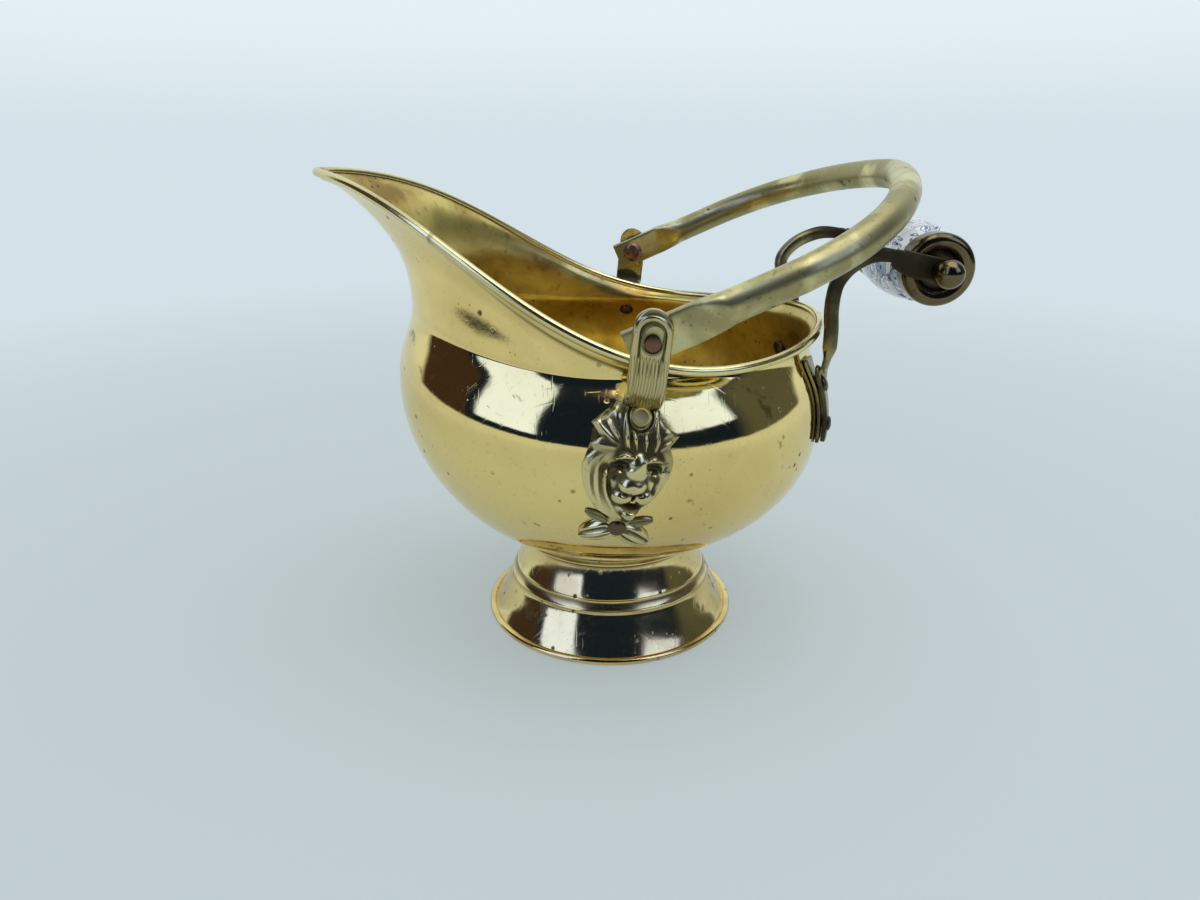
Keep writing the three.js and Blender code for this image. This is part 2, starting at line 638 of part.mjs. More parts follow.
function earGeometry(side) {
  const rings = steps(-EAR_FOOT_RADIUS + 0.3, 0, 2).map((v) => wallRing(v, side));
  rings.push(...MASK_OUTLINE.map(([v]) => wallRing(v, side)));
  const rise = strapRise(side);
  for (const t of steps(0.16, 1, 5)) {
    const p = rise.getPoint(t);
    const slope = Math.atan2(rise.getTangent(t).x, rise.getTangent(t).y);
    rings.push(freeRing(p.y, p.x, slope, STRAP_HALF_WIDTH, side));
  }
  const tilt = -side * axisTilt;
  for (const v of steps(pivotAlong - 4, loopMiddle, 3)) {
    rings.push(freeRing(v, loopFace(v, side), tilt, STRAP_HALF_WIDTH, side));
  }
  for (const angle of [30, 56, 80]) {
    const v = loopMiddle + STRAP_HALF_WIDTH * Math.sin(radians(angle));
    const half = STRAP_HALF_WIDTH * Math.cos(radians(angle));
    rings.push(freeRing(v, loopFace(v, side), tilt, half, side));
  }
  const body = join([loft(rings), leafGeometry(-1, side), leafGeometry(1, side)]);
  const lower = earSeat(0, 0, side);
  const upper = earSeat(0, EAR_RIVET_RISE, side);
  const flats = [lower, upper].map((seat) => spotFace(seat, EAR_PILE, EAR_RIVET_HEAD[0]));
  const tools = [outsideWall, ...flats, rivetHole(lower), rivetHole(upper), ...slotTools(side)];
  return cut(body, tools);
}

// The slot in the loop: two round holes and the stretch between them
function slotTools(side) {
  const radius = PIVOT_SHANK + 2 * GAP;
  const low = v3(PIVOT_X, side * EAR_FACE, PIVOT_Z + earRaise(side));
  const high = low.clone().addScaledVector(earDirection, SLOT_RISE);
  const axis = v3(0, Math.cos(axisTilt), Math.sin(axisTilt));
  const between = new THREE.BoxGeometry(2 * radius, 30, SLOT_RISE);
  between.rotateY(radians(EAR_LEAN));
  between.rotateX(axisTilt);
  between.translate((low.x + high.x) / 2, low.y, (low.z + high.z) / 2);
  return [bar(radius, 30, low, axis, PIVOT_ROUND), bar(radius, 30, high, axis, PIVOT_ROUND), between];
}

// ---------------------------------------------------------------- bail
// In the bail's own plane: x runs from the pivots to the crown, y across.
const flatMiddle = EAR_FACE - GAP - BAIL_FLAT[0];
const bailCurve = new THREE.CubicBezierCurve(
  v2(BAIL_LEG, BAIL_HALF_WIDTH),
  v2(BAIL_LEG + BAIL_SHOULDER, BAIL_HALF_WIDTH),
  v2(BAIL_REACH, BAIL_CROWN),
  v2(BAIL_REACH, 0),
);

function bailStations() {
  const leg = [-BAIL_TAIL, -0.6 * BAIL_TAIL, 0, 9, 16, BAIL_CREASE, BAIL_CREASE + 3,
    BAIL_CREASE + 9, BAIL_CREASE + 20].map((x) => {
    const spread = smooth(x, 0.6 * BAIL_CREASE, BAIL_LEG * 0.8);
    const swell = smooth(x, BAIL_CREASE - 4, BAIL_CREASE + 16);
    return {
      at: v2(x, lerp(flatMiddle, BAIL_HALF_WIDTH, spread)),
      thick: lerp(BAIL_FLAT[0], BAIL_TUBE, swell),
      wide: lerp(BAIL_FLAT[1], BAIL_TUBE, swell),
      square: lerp(5, 2, swell),
    };
  });
  const bend = steps(0, 1, 9).map((t) => ({
    at: bailCurve.getPoint(t),
    thick: BAIL_TUBE,
    wide: BAIL_TUBE,
    square: 2,
  }));
  const half = [...leg, ...bend];
  const other = half.slice(0, -1).map((s) => ({ ...s, at: v2(s.at.x, -s.at.y) }));
  return [...half, ...other.reverse()];
}

// A ring of a rounded bar: the higher square is, the flatter are its sides
function barRing(centre, thickWay, thick, wideWay, wide, square, count) {
  const part = (value) => Math.sign(value) * Math.abs(value) ** (2 / square);
  return steps(0, TURN, count).slice(0, count).map((angle) => {
    const p = centre.clone().addScaledVector(thickWay, thick * part(Math.cos(angle)));
    return p.addScaledVector(wideWay, wide * part(Math.sin(angle)));
  });
}

function bailGeometry() {
  const stations = bailStations();
  const rings = stations.map((station, i) => {
    const before = stations[Math.max(0, i - 1)].at;
    const after = stations[Math.min(stations.length - 1, i + 1)].at;
    const along = after.clone().sub(before).normalize();
    const inPlane = v3(along.y, -along.x, 0);
    const centre = v3(station.at.x, station.at.y, 0);
    const { thick, wide, square } = station;
    return barRing(centre, inPlane, thick, v3(0, 0, 1), wide, square, BAIL_ROUND);
  });
  const hole = (side) => {
    return bar(PIVOT_SHANK + GAP, 30, v3(0, side * flatMiddle, 0), v3(0, 1, 0), PIVOT_ROUND);
  };
  return cut(loft(rings), [hole(-1), hole(1)]);
}

// Its domed head is inside the bail, its plain end stands in the ear's slot
function bailRivetGeometry() {
  const head = EAR_FACE - 2 * GAP - 2 * BAIL_FLAT[0];
  const [radius, height] = PIVOT_HEAD;
  const end = EAR_FACE + EAR_CAST + PIVOT_END;
  return lathe([
    [0, head - height],
    [0.45 * radius, head - 0.9 * height],
    [0.85 * radius, head - 0.5 * height],
    [radius, head],
    [PIVOT_SHANK, head],
    [PIVOT_SHANK, end - 0.9],
    [0.7 * PIVOT_SHANK, end - 0.2],
    [0, end],
  ], PIVOT_ROUND);
}

// ---------------------------------------------------------------- foot
function footGeometry() {
  const outer = [
    [FOOT_TOP_RADIUS, FOOT_HEIGHT],
    [STEM_RADIUS + 0.5, STEM_TOP + 2],
    [STEM_RADIUS, STEM_TOP - 3],
    [STEM_RADIUS - 0.3, BAND_HEIGHT + 0.5],
    [BAND_RADIUS - 0.6, BAND_HEIGHT],
    [BAND_RADIUS, BAND_HEIGHT - 0.8],
    [BAND_RADIUS + 0.4, LEDGE_HEIGHT + 0.4],
    [LEDGE_RADIUS - 0.6, LEDGE_HEIGHT],
    [LEDGE_RADIUS, LEDGE_HEIGHT - 0.8],
    [LEDGE_RADIUS, LEDGE_HEIGHT - 3],
  ];
  const skirt = new THREE.QuadraticBezierCurve(
    v2(LEDGE_RADIUS - 0.4, LEDGE_HEIGHT - 3.6),
    v2(LEDGE_RADIUS + 2.6, 9),
    v2(SKIRT_RADIUS, 2),
  );
  outer.push(...skirt.getPoints(4).map((p) => [p.x, p.y]));
  const middle = (FOOT_RADIUS + SKIRT_RADIUS + 1.2) / 2;
  const bead = [
    [SKIRT_RADIUS + 1.2, 0.5 * FOOT_BEAD],
    [middle - 0.6, 0.95 * FOOT_BEAD],
    [middle + 0.8, FOOT_BEAD],
    [FOOT_RADIUS, 0.62 * FOOT_BEAD],
    [FOOT_RADIUS, 0.28 * FOOT_BEAD],
    [FOOT_RADIUS - 1.2, 0],
    [SKIRT_RADIUS - 2, 0],
  ];
  const inner = outer.map(([r, z], i) => {
    const [r0, z0] = outer[Math.max(0, i - 1)];
    const [r1, z1] = outer[Math.min(outer.length - 1, i + 1)];
    const length = Math.hypot(r1 - r0, z1 - z0);
    return [r + (FOOT_SHEET * (z1 - z0)) / length, z - (FOOT_SHEET * (r1 - r0)) / length];
  });
  inner[0] = [FOOT_TOP_RADIUS - FOOT_SHEET, FOOT_HEIGHT];
  inner.pop();
  const closed = [...outer, ...bead, ...inner.filter((_, i) => i % 3 === 0).reverse(), outer[0]];
  return lathe(closed.reverse(), FOOT_COLUMNS);
}

function ringGeometry() {
  const bottom = FOOT_HEIGHT + GAP;
  const inside = RING_RADIUS - RING_WIDTH;
  const closed = [
    [inside, bottom],
    [RING_RADIUS - 0.8, bottom],
    [RING_RADIUS, bottom + 0.3 * RING_HEIGHT],
    [RING_RADIUS, bottom + 0.7 * RING_HEIGHT],
    [RING_RADIUS - 0.8, RING_TOP],
    [inside, RING_TOP],
    [inside, bottom],
  ];
  return lathe(closed, FOOT_COLUMNS);
}

// ---------------------------------------------------------------- bowl and rim moulding
function bowlGeometry(seats) {
  const rings = [...wallRings(0), ...wallRings(-SHEET).reverse()];
  return cut(loft(rings), seats.map(rivetHole));
}

// The moulding is a tube with a slot that grips the wall's edge
function beadGeometry() {
  const slot = SHEET / 2 + GAP + BEAD_EASE;
  const lip = slot + BEAD_LIP_SHEET;
  const drop = (n) => -Math.sqrt(BEAD_RADIUS ** 2 - n ** 2);
  const shape = [
    v2(slot, -BEAD_LIP),
    v2(slot, GAP),
    v2(-slot, GAP),
    v2(-slot, drop(slot)),
    ...[200, 155, 115, 75, 35, 0].map((angle) => {
      return v2(Math.cos(radians(angle)), Math.sin(radians(angle))).multiplyScalar(BEAD_RADIUS);
    }),
    v2(lip, drop(lip)),
    v2(lip, -BEAD_LIP),
  ];
  const rings = columns.map((phi) => {
    const middle = wallNormal(phi, 3).multiplyScalar(-SHEET / 2);
    const edge = wallPoint(phi, 3).add(middle);
    const below = wallPoint(phi, edgeStart(phi)).add(middle);
    const up = edge.clone().sub(below).normalize();
    const along = wallPoint(phi + 0.01, 3).sub(wallPoint(phi - 0.01, 3)).normalize();
    up.addScaledVector(along, -up.dot(along)).normalize();
    const out = along.clone().cross(up);
    return shape.map((p) => {
      return edge.clone().addScaledVector(out, p.x).addScaledVector(up, p.y);
    });
  });
  return loft(rings, shape);
}

// ---------------------------------------------------------------- rear handle
const capTop = GRIP_HALF_LENGTH + GAP + CAP_DEPTH;
const paddleMiddle = capTop + GAP + PADDLE_THICKNESS / 2;
const nutBase = paddleMiddle + PADDLE_THICKNESS / 2 + GAP;

// Barrel with a step at each end and two turned rings before it
function gripGeometry() {
  const bore = ROD_RADIUS + GAP;
  const half = [
    [0, GRIP_RADIUS],
    [14, GRIP_RADIUS - 0.8],
    [24, GRIP_RADIUS - 2.4],
    [27, GRIP_RADIUS - 2.6],
    [29, GRIP_RADIUS - 3.8],
    [33, GRIP_RADIUS - 4.4],
    [GRIP_HALF_LENGTH - CAP_SKIRT - 1.4, GRIP_RADIUS - 5],
    [GRIP_HALF_LENGTH - CAP_SKIRT - 0.7, GRIP_END_RADIUS],
    [GRIP_HALF_LENGTH, GRIP_END_RADIUS],
  ].map(([y, r]) => [r, y]);
  const other = half.slice(1).map(([r, y]) => [r, -y]).reverse();
  const closed = [[bore, -GRIP_HALF_LENGTH], ...other, ...half, [bore, GRIP_HALF_LENGTH]];
  return lathe([...closed, closed[0]], ROUND);
}

// Cup with a rounded shoulder and a sunk floor; built standing outwards along +Y
function capGeometry() {
  const floor = GRIP_HALF_LENGTH + GAP;
  const bore = ROD_RADIUS + GAP;
  const inner = CAP_RADIUS - CAP_WALL;
  const rim = GRIP_HALF_LENGTH - CAP_SKIRT;
  return lathe([
    [bore, floor],
    [inner, floor],
    [inner, rim],
    [CAP_RADIUS, rim],
    [CAP_RADIUS, capTop - 4.2],
    [CAP_RADIUS - 0.9, capTop - 1.6],
    [CAP_RADIUS - 3.4, capTop],
    [CAP_RADIUS - 6, capTop - 1.4],
    [CAP_RADIUS - 7.2, floor + CAP_FLOOR],
    [bore, floor + CAP_FLOOR],
    [bore, floor],
  ], ROUND);
}

function nutGeometry() {
  const bore = ROD_RADIUS + GAP;
  const ball = nutBase + NUT_RADIUS;
  const arc = steps(-42, 90, 5).map((angle) => {
    const a = radians(angle);
    return [NUT_RADIUS * Math.cos(a), ball + NUT_RADIUS * Math.sin(a)];
  });
  arc[arc.length - 1][0] = 0;
  return lathe([
    [0, ball - 1],
    [bore, ball - 1],
    [bore, nutBase],
    [NUT_FLANGE, nutBase],
    [NUT_FLANGE, nutBase + 1.4],
    ...arc,
  ], PIVOT_ROUND);
}

const rodEnd = nutBase + NUT_RADIUS - 1 - GAP;

// Middle line of an arm from its riveted tail to its paddle, with sizes on the way
function armStations(side) {
  const tailLift = 2 * GAP + BACKING_THICKNESS + TAIL_EASE + TAIL_THICKNESS / 2;
  const [low, high] = ARM_RIVETS;
  const tail = [TAIL_BOTTOM, low, lerp(low, high, 0.33), lerp(low, high, 0.67), high, TAIL_TOP];
  const stations = tail.map((z) => {
    const seat = backSeat(side * TAIL_Y, z);
    return { at: lifted(seat, tailLift), flat: seat.normal, thick: TAIL_THICKNESS / 2,
      wide: TAIL_HALF_WIDTH, square: 5 };
  });
  const outward = stations[tail.length - 1].flat;
  const share = Math.sqrt(1 - (TAIL_Y / (RIM_RADIUS + BEAD_RADIUS)) ** 2);
  const rodX = RIM_CENTRE + RIM_BACK * share + BEAD_RADIUS + ARM_ROD + 2 * GAP;
  const free = (x, y, z, thick, wide, square) => {
    stations.push({ at: v3(x, side * y, z), flat: outward, thick, wide, square });
  };
  const level = GRIP_Z + 8;
  const top = paddleMiddle;
  const lean = side > 0 ? RIGHT_ARM_LEAN : 0;
  const rod = (x, z, turn, share) => {
    free(x - share * lean, lerp(TAIL_Y, top, turn), z, ARM_ROD, ARM_ROD, 2);
  };
  free(rodX - 2, TAIL_Y + 0.3, RIM_LOW - 15, 1.6, 4.9, 4);
  free(rodX - 0.5, TAIL_Y + 0.5, RIM_LOW - 8, 2.2, 4, 3);
  rod(rodX, RIM_LOW - 2, 0.08, 0);
  rod(rodX - 0.4, RIM_LOW + 8, 0.2, 0.1);
  rod(rodX - 1.6, level - 31, 0.35, 0.5);
  rod(rodX - 1.8, level - 22, 0.5, 0.9);
  rod(rodX - 0.6, level - 14.6, 0.62, 1);
  rod(rodX + 3.3, level - 8, 0.74, 0.85);
  rod(rodX + 9, level - 3, 0.86, 0.6);
  rod(rodX + 16.5, level + 0.4, 0.96, 0.2);
  free(GRIP_X - 26.5, top, level, 2.2, 3.4, 3);
  const half = PADDLE_THICKNESS / 2;
  free(GRIP_X - 22.5, top, level - 2, half, 5.6, 5);
  free(GRIP_X - 14, top, level - 5, half, PADDLE_HALF_WIDTH, 5);
  free(GRIP_X, top, GRIP_Z, half, PADDLE_HALF_WIDTH, 5);
  free(GRIP_X + 4.4, top, GRIP_Z - 1.4, half, PADDLE_HALF_WIDTH - 1.6, 5);
  free(GRIP_X + 6.8, top, GRIP_Z - 2.2, half, PADDLE_HALF_WIDTH - 4, 5);
  return stations;
}

function armGeometry(side, seats) {
  const stations = armStations(side);
  const rings = stations.map((station, i) => {
    const before = stations[Math.max(0, i - 1)].at;
    const after = stations[Math.min(stations.length - 1, i + 1)].at;
    const along = after.clone().sub(before).normalize();
    const turned = smooth(i, 9, 14);
    const flat = station.flat.clone().lerp(v3(0, side, 0), turned);
    flat.addScaledVector(along, -flat.dot(along)).normalize();
    const wideWay = along.clone().cross(flat);
    const { at, thick, wide, square } = station;
    return barRing(at, flat, thick, wideWay, wide, square, SMALL_ROUND);
  });
  const rodHole = bar(ROD_RADIUS + GAP, 20, v3(GRIP_X, side * paddleMiddle, GRIP_Z), v3(0, 1, 0));
  return cut(loft(rings), [rodHole, ...seats.map(rivetHole)]);
}

// Flat strip between the wall and an arm's tail; it starts below the rim moulding
function backingGeometry(side, seats) {
  const top = RIM_LOW - BEAD_LIP - 3.4;
  const rings = steps(TAIL_BOTTOM - 1, top, 6).map((z) => {
    const shares = [-1, 0, 1];
    const seatAt = (share) => backSeat(side * TAIL_Y + share * BACKING_HALF_WIDTH, z);
    const near = shares.map((share) => lifted(seatAt(share), SUNK));
    const far = shares.map((share) => lifted(seatAt(share), GAP + BACKING_THICKNESS));
    return [...near, ...far.reverse()];
  });
  return cut(loft(rings), [outsideWall, ...seats.map(rivetHole)]);
}

// ---------------------------------------------------------------- assembly
const scuttle = new THREE.Group();
scuttle.name = 'coal_scuttle';

function add(name, geometry, material, parent = scuttle) {
  const mesh = new THREE.Mesh(geometry, material);
  mesh.name = name;
  parent.add(mesh);
  return mesh;
}

const SIDES = [['left', -1], ['right', 1]];
const earSeats = SIDES.map(([, side]) => [earSeat(0, 0, side), earSeat(0, EAR_RIVET_RISE, side)]);
const armSeats = SIDES.map(([, side]) => ARM_RIVETS.map((z) => backSeat(side * TAIL_Y, z)));

add('foot', footGeometry(), brass).rotation.x = QUARTER;
add('foot_ring', ringGeometry(), oldBrass).rotation.x = QUARTER;
add('bowl', bowlGeometry([...earSeats, ...armSeats].flat()), brass);
add('rim_bead', beadGeometry(), brass);

const bail = new THREE.Group();
bail.position.set(PIVOT_X, 0, PIVOT_Z + RIGHT_EAR_RAISE / 2);
bail.rotation.set(axisTilt, -radians(BAIL_RAISED), 0);
scuttle.add(bail);
add('bail', bailGeometry(), oldBrass, bail);

SIDES.forEach(([hand, side], i) => {
  add(`${hand}_ear`, earGeometry(side), castBrass);
  earSeats[i].forEach((seat, k) => {
    const name = `${hand}_ear_${k === 0 ? 'lower' : 'upper'}_rivet`;
    const geometry = rivetGeometry(seat, EAR_PILE, EAR_RIVET_HEAD, EAR_INSIDE_HEAD, k === 1);
    add(name, geometry, darkBrass);
  });
  const pivot = add(`${hand}_bail_rivet`, bailRivetGeometry(), copper, bail);
  pivot.rotation.z = side < 0 ? Math.PI : 0;

  add(`${hand}_handle_arm`, armGeometry(side, armSeats[i]), oldBrass);
  add(`${hand}_backing_strip`, backingGeometry(side, armSeats[i]), oldBrass);
  const pile = 2 * GAP + BACKING_THICKNESS + TAIL_EASE + TAIL_THICKNESS;
  armSeats[i].forEach((seat, k) => {
    const name = `${hand}_arm_${k === 0 ? 'lower' : 'upper'}_rivet`;
    add(name, rivetGeometry(seat, pile, ARM_RIVET_HEAD, ARM_INSIDE_HEAD, false), darkBrass);
  });
});

const handle = new THREE.Group();
handle.position.set(GRIP_X, 0, GRIP_Z);
scuttle.add(handle);
add('grip', gripGeometry(), porcelain, handle);
add('grip_rod', new THREE.CylinderGeometry(ROD_RADIUS, ROD_RADIUS, 2 * rodEnd, SMALL_ROUND),
  darkBrass, handle);
SIDES.forEach(([hand, side]) => {
  add(`${hand}_grip_cap`, capGeometry(), oldBrass, handle).rotation.z = side < 0 ? Math.PI : 0;
  add(`${hand}_ball_nut`, nutGeometry(), brass, handle).rotation.z = side < 0 ? Math.PI : 0;
});

// The origin is on the floor, below the middle of the box round the whole scuttle
scuttle.updateMatrixWorld(true);
const middle = new THREE.Box3().setFromObject(scuttle, true).getCenter(v3(0, 0, 0));
scuttle.position.set(-middle.x, -middle.y, 0);
scuttle.updateMatrixWorld(true);

export default scuttle;
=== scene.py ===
# %% [markdown]
# # A brass coal scuttle in the helmet shape
# The real scuttle is a raised brass bowl on a turned foot, with a swinging bail held in two cast
# lion masks and a fixed rear handle with a porcelain grip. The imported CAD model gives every
# piece its place and size. This lesson keeps that frame and remakes each visible piece with
# its fine shape and its worn finish.

# %% Load the frame
import math
import bpy
import numpy as np
from mathutils import Matrix, Vector


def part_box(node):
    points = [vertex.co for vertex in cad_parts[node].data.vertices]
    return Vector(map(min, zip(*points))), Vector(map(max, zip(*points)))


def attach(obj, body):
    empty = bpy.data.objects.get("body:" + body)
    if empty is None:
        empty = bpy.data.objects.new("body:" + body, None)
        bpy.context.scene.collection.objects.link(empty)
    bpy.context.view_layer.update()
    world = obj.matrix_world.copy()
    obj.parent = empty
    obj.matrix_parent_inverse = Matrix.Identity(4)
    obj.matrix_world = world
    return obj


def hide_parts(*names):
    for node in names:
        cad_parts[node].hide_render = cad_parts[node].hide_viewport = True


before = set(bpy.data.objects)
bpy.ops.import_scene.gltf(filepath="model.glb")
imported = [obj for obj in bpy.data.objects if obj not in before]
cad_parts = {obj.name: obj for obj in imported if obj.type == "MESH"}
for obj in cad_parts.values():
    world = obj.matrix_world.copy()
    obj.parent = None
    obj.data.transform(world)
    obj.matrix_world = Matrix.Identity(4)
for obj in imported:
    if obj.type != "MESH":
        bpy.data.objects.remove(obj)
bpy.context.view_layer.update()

MM = 0.001
TURN = 2 * math.pi
SIDES = (("left", -1), ("right", 1))
foot_low, foot_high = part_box("foot")
AXIS = np.array([(foot_low.x + foot_high.x) / 2, (foot_low.y + foot_high.y) / 2, 0.0])
print("nodes", len(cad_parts), "foot axis at", AXIS)


# %% [markdown]
# All measures below are millimetres from the foot's axis on the floor, +X towards the rear
# handle, because that is how a maker would mark out such a piece. One small helper turns them
# into the frame's metres.

# %% From millimetres to the frame
def to_frame(points):
    return np.asarray(points, float) * MM + AXIS


def step(value, low, high):
    t = np.clip((np.asarray(value, float) - low) / (high - low), 0, 1)
    return t * t * (3 - 2 * t)


def blend_between(a, b, t):
    return a + (b - a) * t


# %% [markdown]
# ## Camera and light
# The photograph was taken from the scuttle's left side, about 20 degrees above level, at arm's
# length. The camera repeats that view. The light is a plain soft box overhead and a pale world.
# A mirror of brass shows the room, so glossy rays see the pale background too, with the dim
# side of a studio behind the camera.

# %% Camera
FRAME_WIDTH, FOCAL_PIXELS = 1200, 830
CAMERA_AT, PITCH, YAW = [-5.935, -491.35, 291.87], 20.71, 0.07
lens = bpy.data.cameras.new("camera")
lens.sensor_width = 36  # millimetres, as a full-frame camera's
lens.lens = lens.sensor_width * FOCAL_PIXELS / FRAME_WIDTH
lens.clip_start, lens.clip_end = 0.01, 50
camera = bpy.data.objects.new("camera", lens)
bpy.context.scene.collection.objects.link(camera)
camera.location = to_frame(CAMERA_AT)
camera.rotation_euler = (math.radians(90 - PITCH), 0, math.radians(YAW))
bpy.context.scene.camera = camera
bpy.context.scene.view_settings.view_transform = "Standard"
print("lens", lens.lens, "mm")


# %% [markdown]
# ## Writing finishes as sums
# A finish is a tree of nodes. Written as sums and products of sockets, it reads like a recipe,
# so one small class wraps a socket and turns Python's operators into Math nodes. Another adds
# any node by its type, its settings and its sockets.

# %% Sockets with arithmetic
class Flow:
    """A value that varies over a surface: one socket of a node."""

    def __init__(self, bench, socket):
        self.bench, self.socket = bench, socket

    def maths(self, operation, *others, clamp=False):
        values = {f"i{k}": value for k, value in enumerate((self, *others))}
        return self.bench.node("Math", {"operation": operation, "use_clamp": clamp}, **values)

    def __add__(self, other):
        return self.maths("ADD", other)

    def __mul__(self, other):
        return self.maths("MULTIPLY", other)

    def __sub__(self, other):
        return self.maths("SUBTRACT", other)

    def __rsub__(self, other):
        return (self * -1) + other

    __radd__, __rmul__ = __add__, __mul__

    def held(self):
        """The value kept between 0 and 1."""
        return self.maths("ADD", 0, clamp=True)

    def above(self, low, high):
        """0 below low and 1 above high, with a soft step between."""
        return self.bench.node("MapRange", {"interpolation_type": "SMOOTHSTEP"}, Value=self,
                               From_Min=low, From_Max=high)

    def near(self, middle, thin, wide):
        """1 at the middle value, fading from thin to wide on both sides."""
        return 1 - (self - middle).maths("ABSOLUTE").above(thin, wide)

    def also(self, name):
        """Another output of the same node."""
        return Flow(self.bench, self.socket.node.outputs[name])


class Bench:
    """A node tree being filled: node() adds any node, mix() mixes two colours."""

    def __init__(self, tree):
        self.tree = tree
        tree.nodes.clear()

    def node(self, kind, settings=(), out=0, **sockets):
        """Sockets go by name, or by number as i0, i1 where names repeat."""
        made = self.tree.nodes.new("ShaderNode" + kind)
        for key, value in dict(settings).items():
            setattr(made, key, value)
        for name, value in sockets.items():
            number = name[1:]
            slot = made.inputs[int(number) if number.isdigit() else name.replace("_", " ")]
            if isinstance(value, Flow):
                self.tree.links.new(value.socket, slot)
            else:
                slot.default_value = value
        return Flow(self, made.outputs[out]) if len(made.outputs) else None

    def mix(self, share, a, b):
        a, b = [(*c, 1) if isinstance(c, tuple) else c for c in (a, b)]
        return self.node("Mix", {"data_type": "RGBA"}, 2, i0=share, i6=a, i7=b)

    def cloud(self, spot, scale, detail=2, **more):
        """Soft noise about 0.5."""
        return self.node("TexNoise", Vector=spot, Scale=scale, Detail=detail, **more)

    def cells(self, spot, scale, feature="F1"):
        """Distance from the nearest of many scattered points."""
        return self.node("TexVoronoi", {"feature": feature}, "Distance", Vector=spot, Scale=scale)


def new_finish(name):
    """A material, its bench, and the Object coordinates of the piece that wears it."""
    material = bpy.data.materials.new(name)
    material.use_nodes = True
    bench = Bench(material.node_tree)
    return material, bench, bench.node("TexCoord", out="Object")


def paint(red, green, blue):
    """A colour as it is seen on a screen, 0 to 255, in the linear numbers that nodes use."""
    screen = (red, green, blue)
    return tuple(((c / 255 + 0.055) / 1.055) ** 2.4 if c > 10 else c / 3294 for c in screen)


print("a pale brass is", paint(220, 200, 150))


# %% [markdown]
# Brass shows what stands round it, so the surroundings are part of its look. They could be
# built as walls and windows, but a world that is painted by direction is simpler and lights
# nothing twice. The camera sees a pale sheet, glossy rays see that sheet with a dim room side
# and two tall windows in it, and all other light is one even level.

# %% Background and lamps
FLOOR_NEAR, HORIZON = paint(199, 211, 214), paint(212, 225, 232)
PALE_TOP = paint(228, 239, 245)
world = bpy.data.worlds.new("studio")
world.use_nodes = True
bpy.context.scene.world = world
sky = Bench(world.node_tree)
way = sky.node("TexCoord", out="Generated")
up = sky.node("SeparateXYZ", out="Z", Vector=way)
turn = up.also("X").maths("ARCTAN2", up.also("Y") * -1)
pale = sky.mix(up.above(-0.02, 0.13), HORIZON, PALE_TOP)


def between(value, low, high, soft):
    return value.above(low - soft, low + soft) * (1 - value.above(high - soft, high + soft))


# The dim side of the studio spans both sides of the camera, with two tall windows in it
room = between(turn, -1.96, 2.02, 0.05) * between(up, 0.0, 0.95, 0.02)
windows = between(turn, -1.22, -0.62, 0.03) * between(up, 0.14, 0.92, 0.02)
windows = windows + between(turn, 0.6, 1.22, 0.04) * between(up, 0.34, 0.99, 0.02)
dim = sky.mix(turn.above(-1.36, -1.3), (0.05, 0.032, 0.026), (0.006, 0.014, 0.045))
dim = sky.mix(turn.above(1.15, 1.4), dim, (0.1, 0.11, 0.1))
mirrored = sky.mix(windows, sky.mix(room, pale, dim), (1.02, 1.34, 2.6))
is_camera = sky.node("LightPath", out="Is Camera Ray")
light = sky.node("Background", Color=(0.97, 0.99, 1.0, 1), Strength=0.76)
seen = sky.node("Background", Color=pale, Strength=1.0)
shine = sky.node("Background", Color=mirrored, Strength=1.0)
soft = sky.node("MixShader", i0=is_camera.also("Is Glossy Ray"), i1=light, i2=shine)
direct = (is_camera + is_camera.also("Is Transmission Ray")).held()
sky.node("OutputWorld", Surface=sky.node("MixShader", i0=direct, i1=soft, i2=seen))


def soft_box(name, at, aim, size, power):
    data = bpy.data.lights.new(name, "AREA")
    data.shape, data.size, data.energy = "DISK", size, power
    lamp = bpy.data.objects.new(name, data)
    bpy.context.scene.collection.objects.link(lamp)
    lamp.location = at
    lamp.rotation_euler = (Vector(aim) - Vector(at)).to_track_quat("-Z", "Y").to_euler()


soft_box("overhead", (0.35, -0.1, 1.6), (0, 0, 0.1), 1.4, 8)
print("world and lamps ready")


# %% [markdown]
# ## Floor
# The scuttle stands on a pale seamless sheet. The floor takes the object's shadow and fades
# into the background far away, so that no horizon shows.

# %% Floor
bpy.ops.object.select_all(action="DESELECT")
bpy.ops.mesh.primitive_circle_add(vertices=96, radius=6, fill_type="NGON", location=(0, 0, 0))
floor = bpy.context.object
floor.name = "floor"
sheet, bench, spot = new_finish("pale_sheet")
far = bench.node("VectorMath", {"operation": "LENGTH"}, out="Value", Vector=spot)
matte = bench.node("BsdfDiffuse", Color=(*FLOOR_NEAR, 1))
lit = bench.node("Emission", Color=(*FLOOR_NEAR, 1), Strength=0.97)
glow = bench.node("Emission", Color=(*HORIZON, 1), Strength=1.0)
softened = bench.node("MixShader", i0=0.5, i1=matte, i2=lit)
whole = bench.node("MixShader", i0=far.above(0.3, 1.5), i1=softened, i2=glow)
bench.node("OutputMaterial", Surface=whole)
floor.data.materials.append(sheet)
print("floor", floor.dimensions)
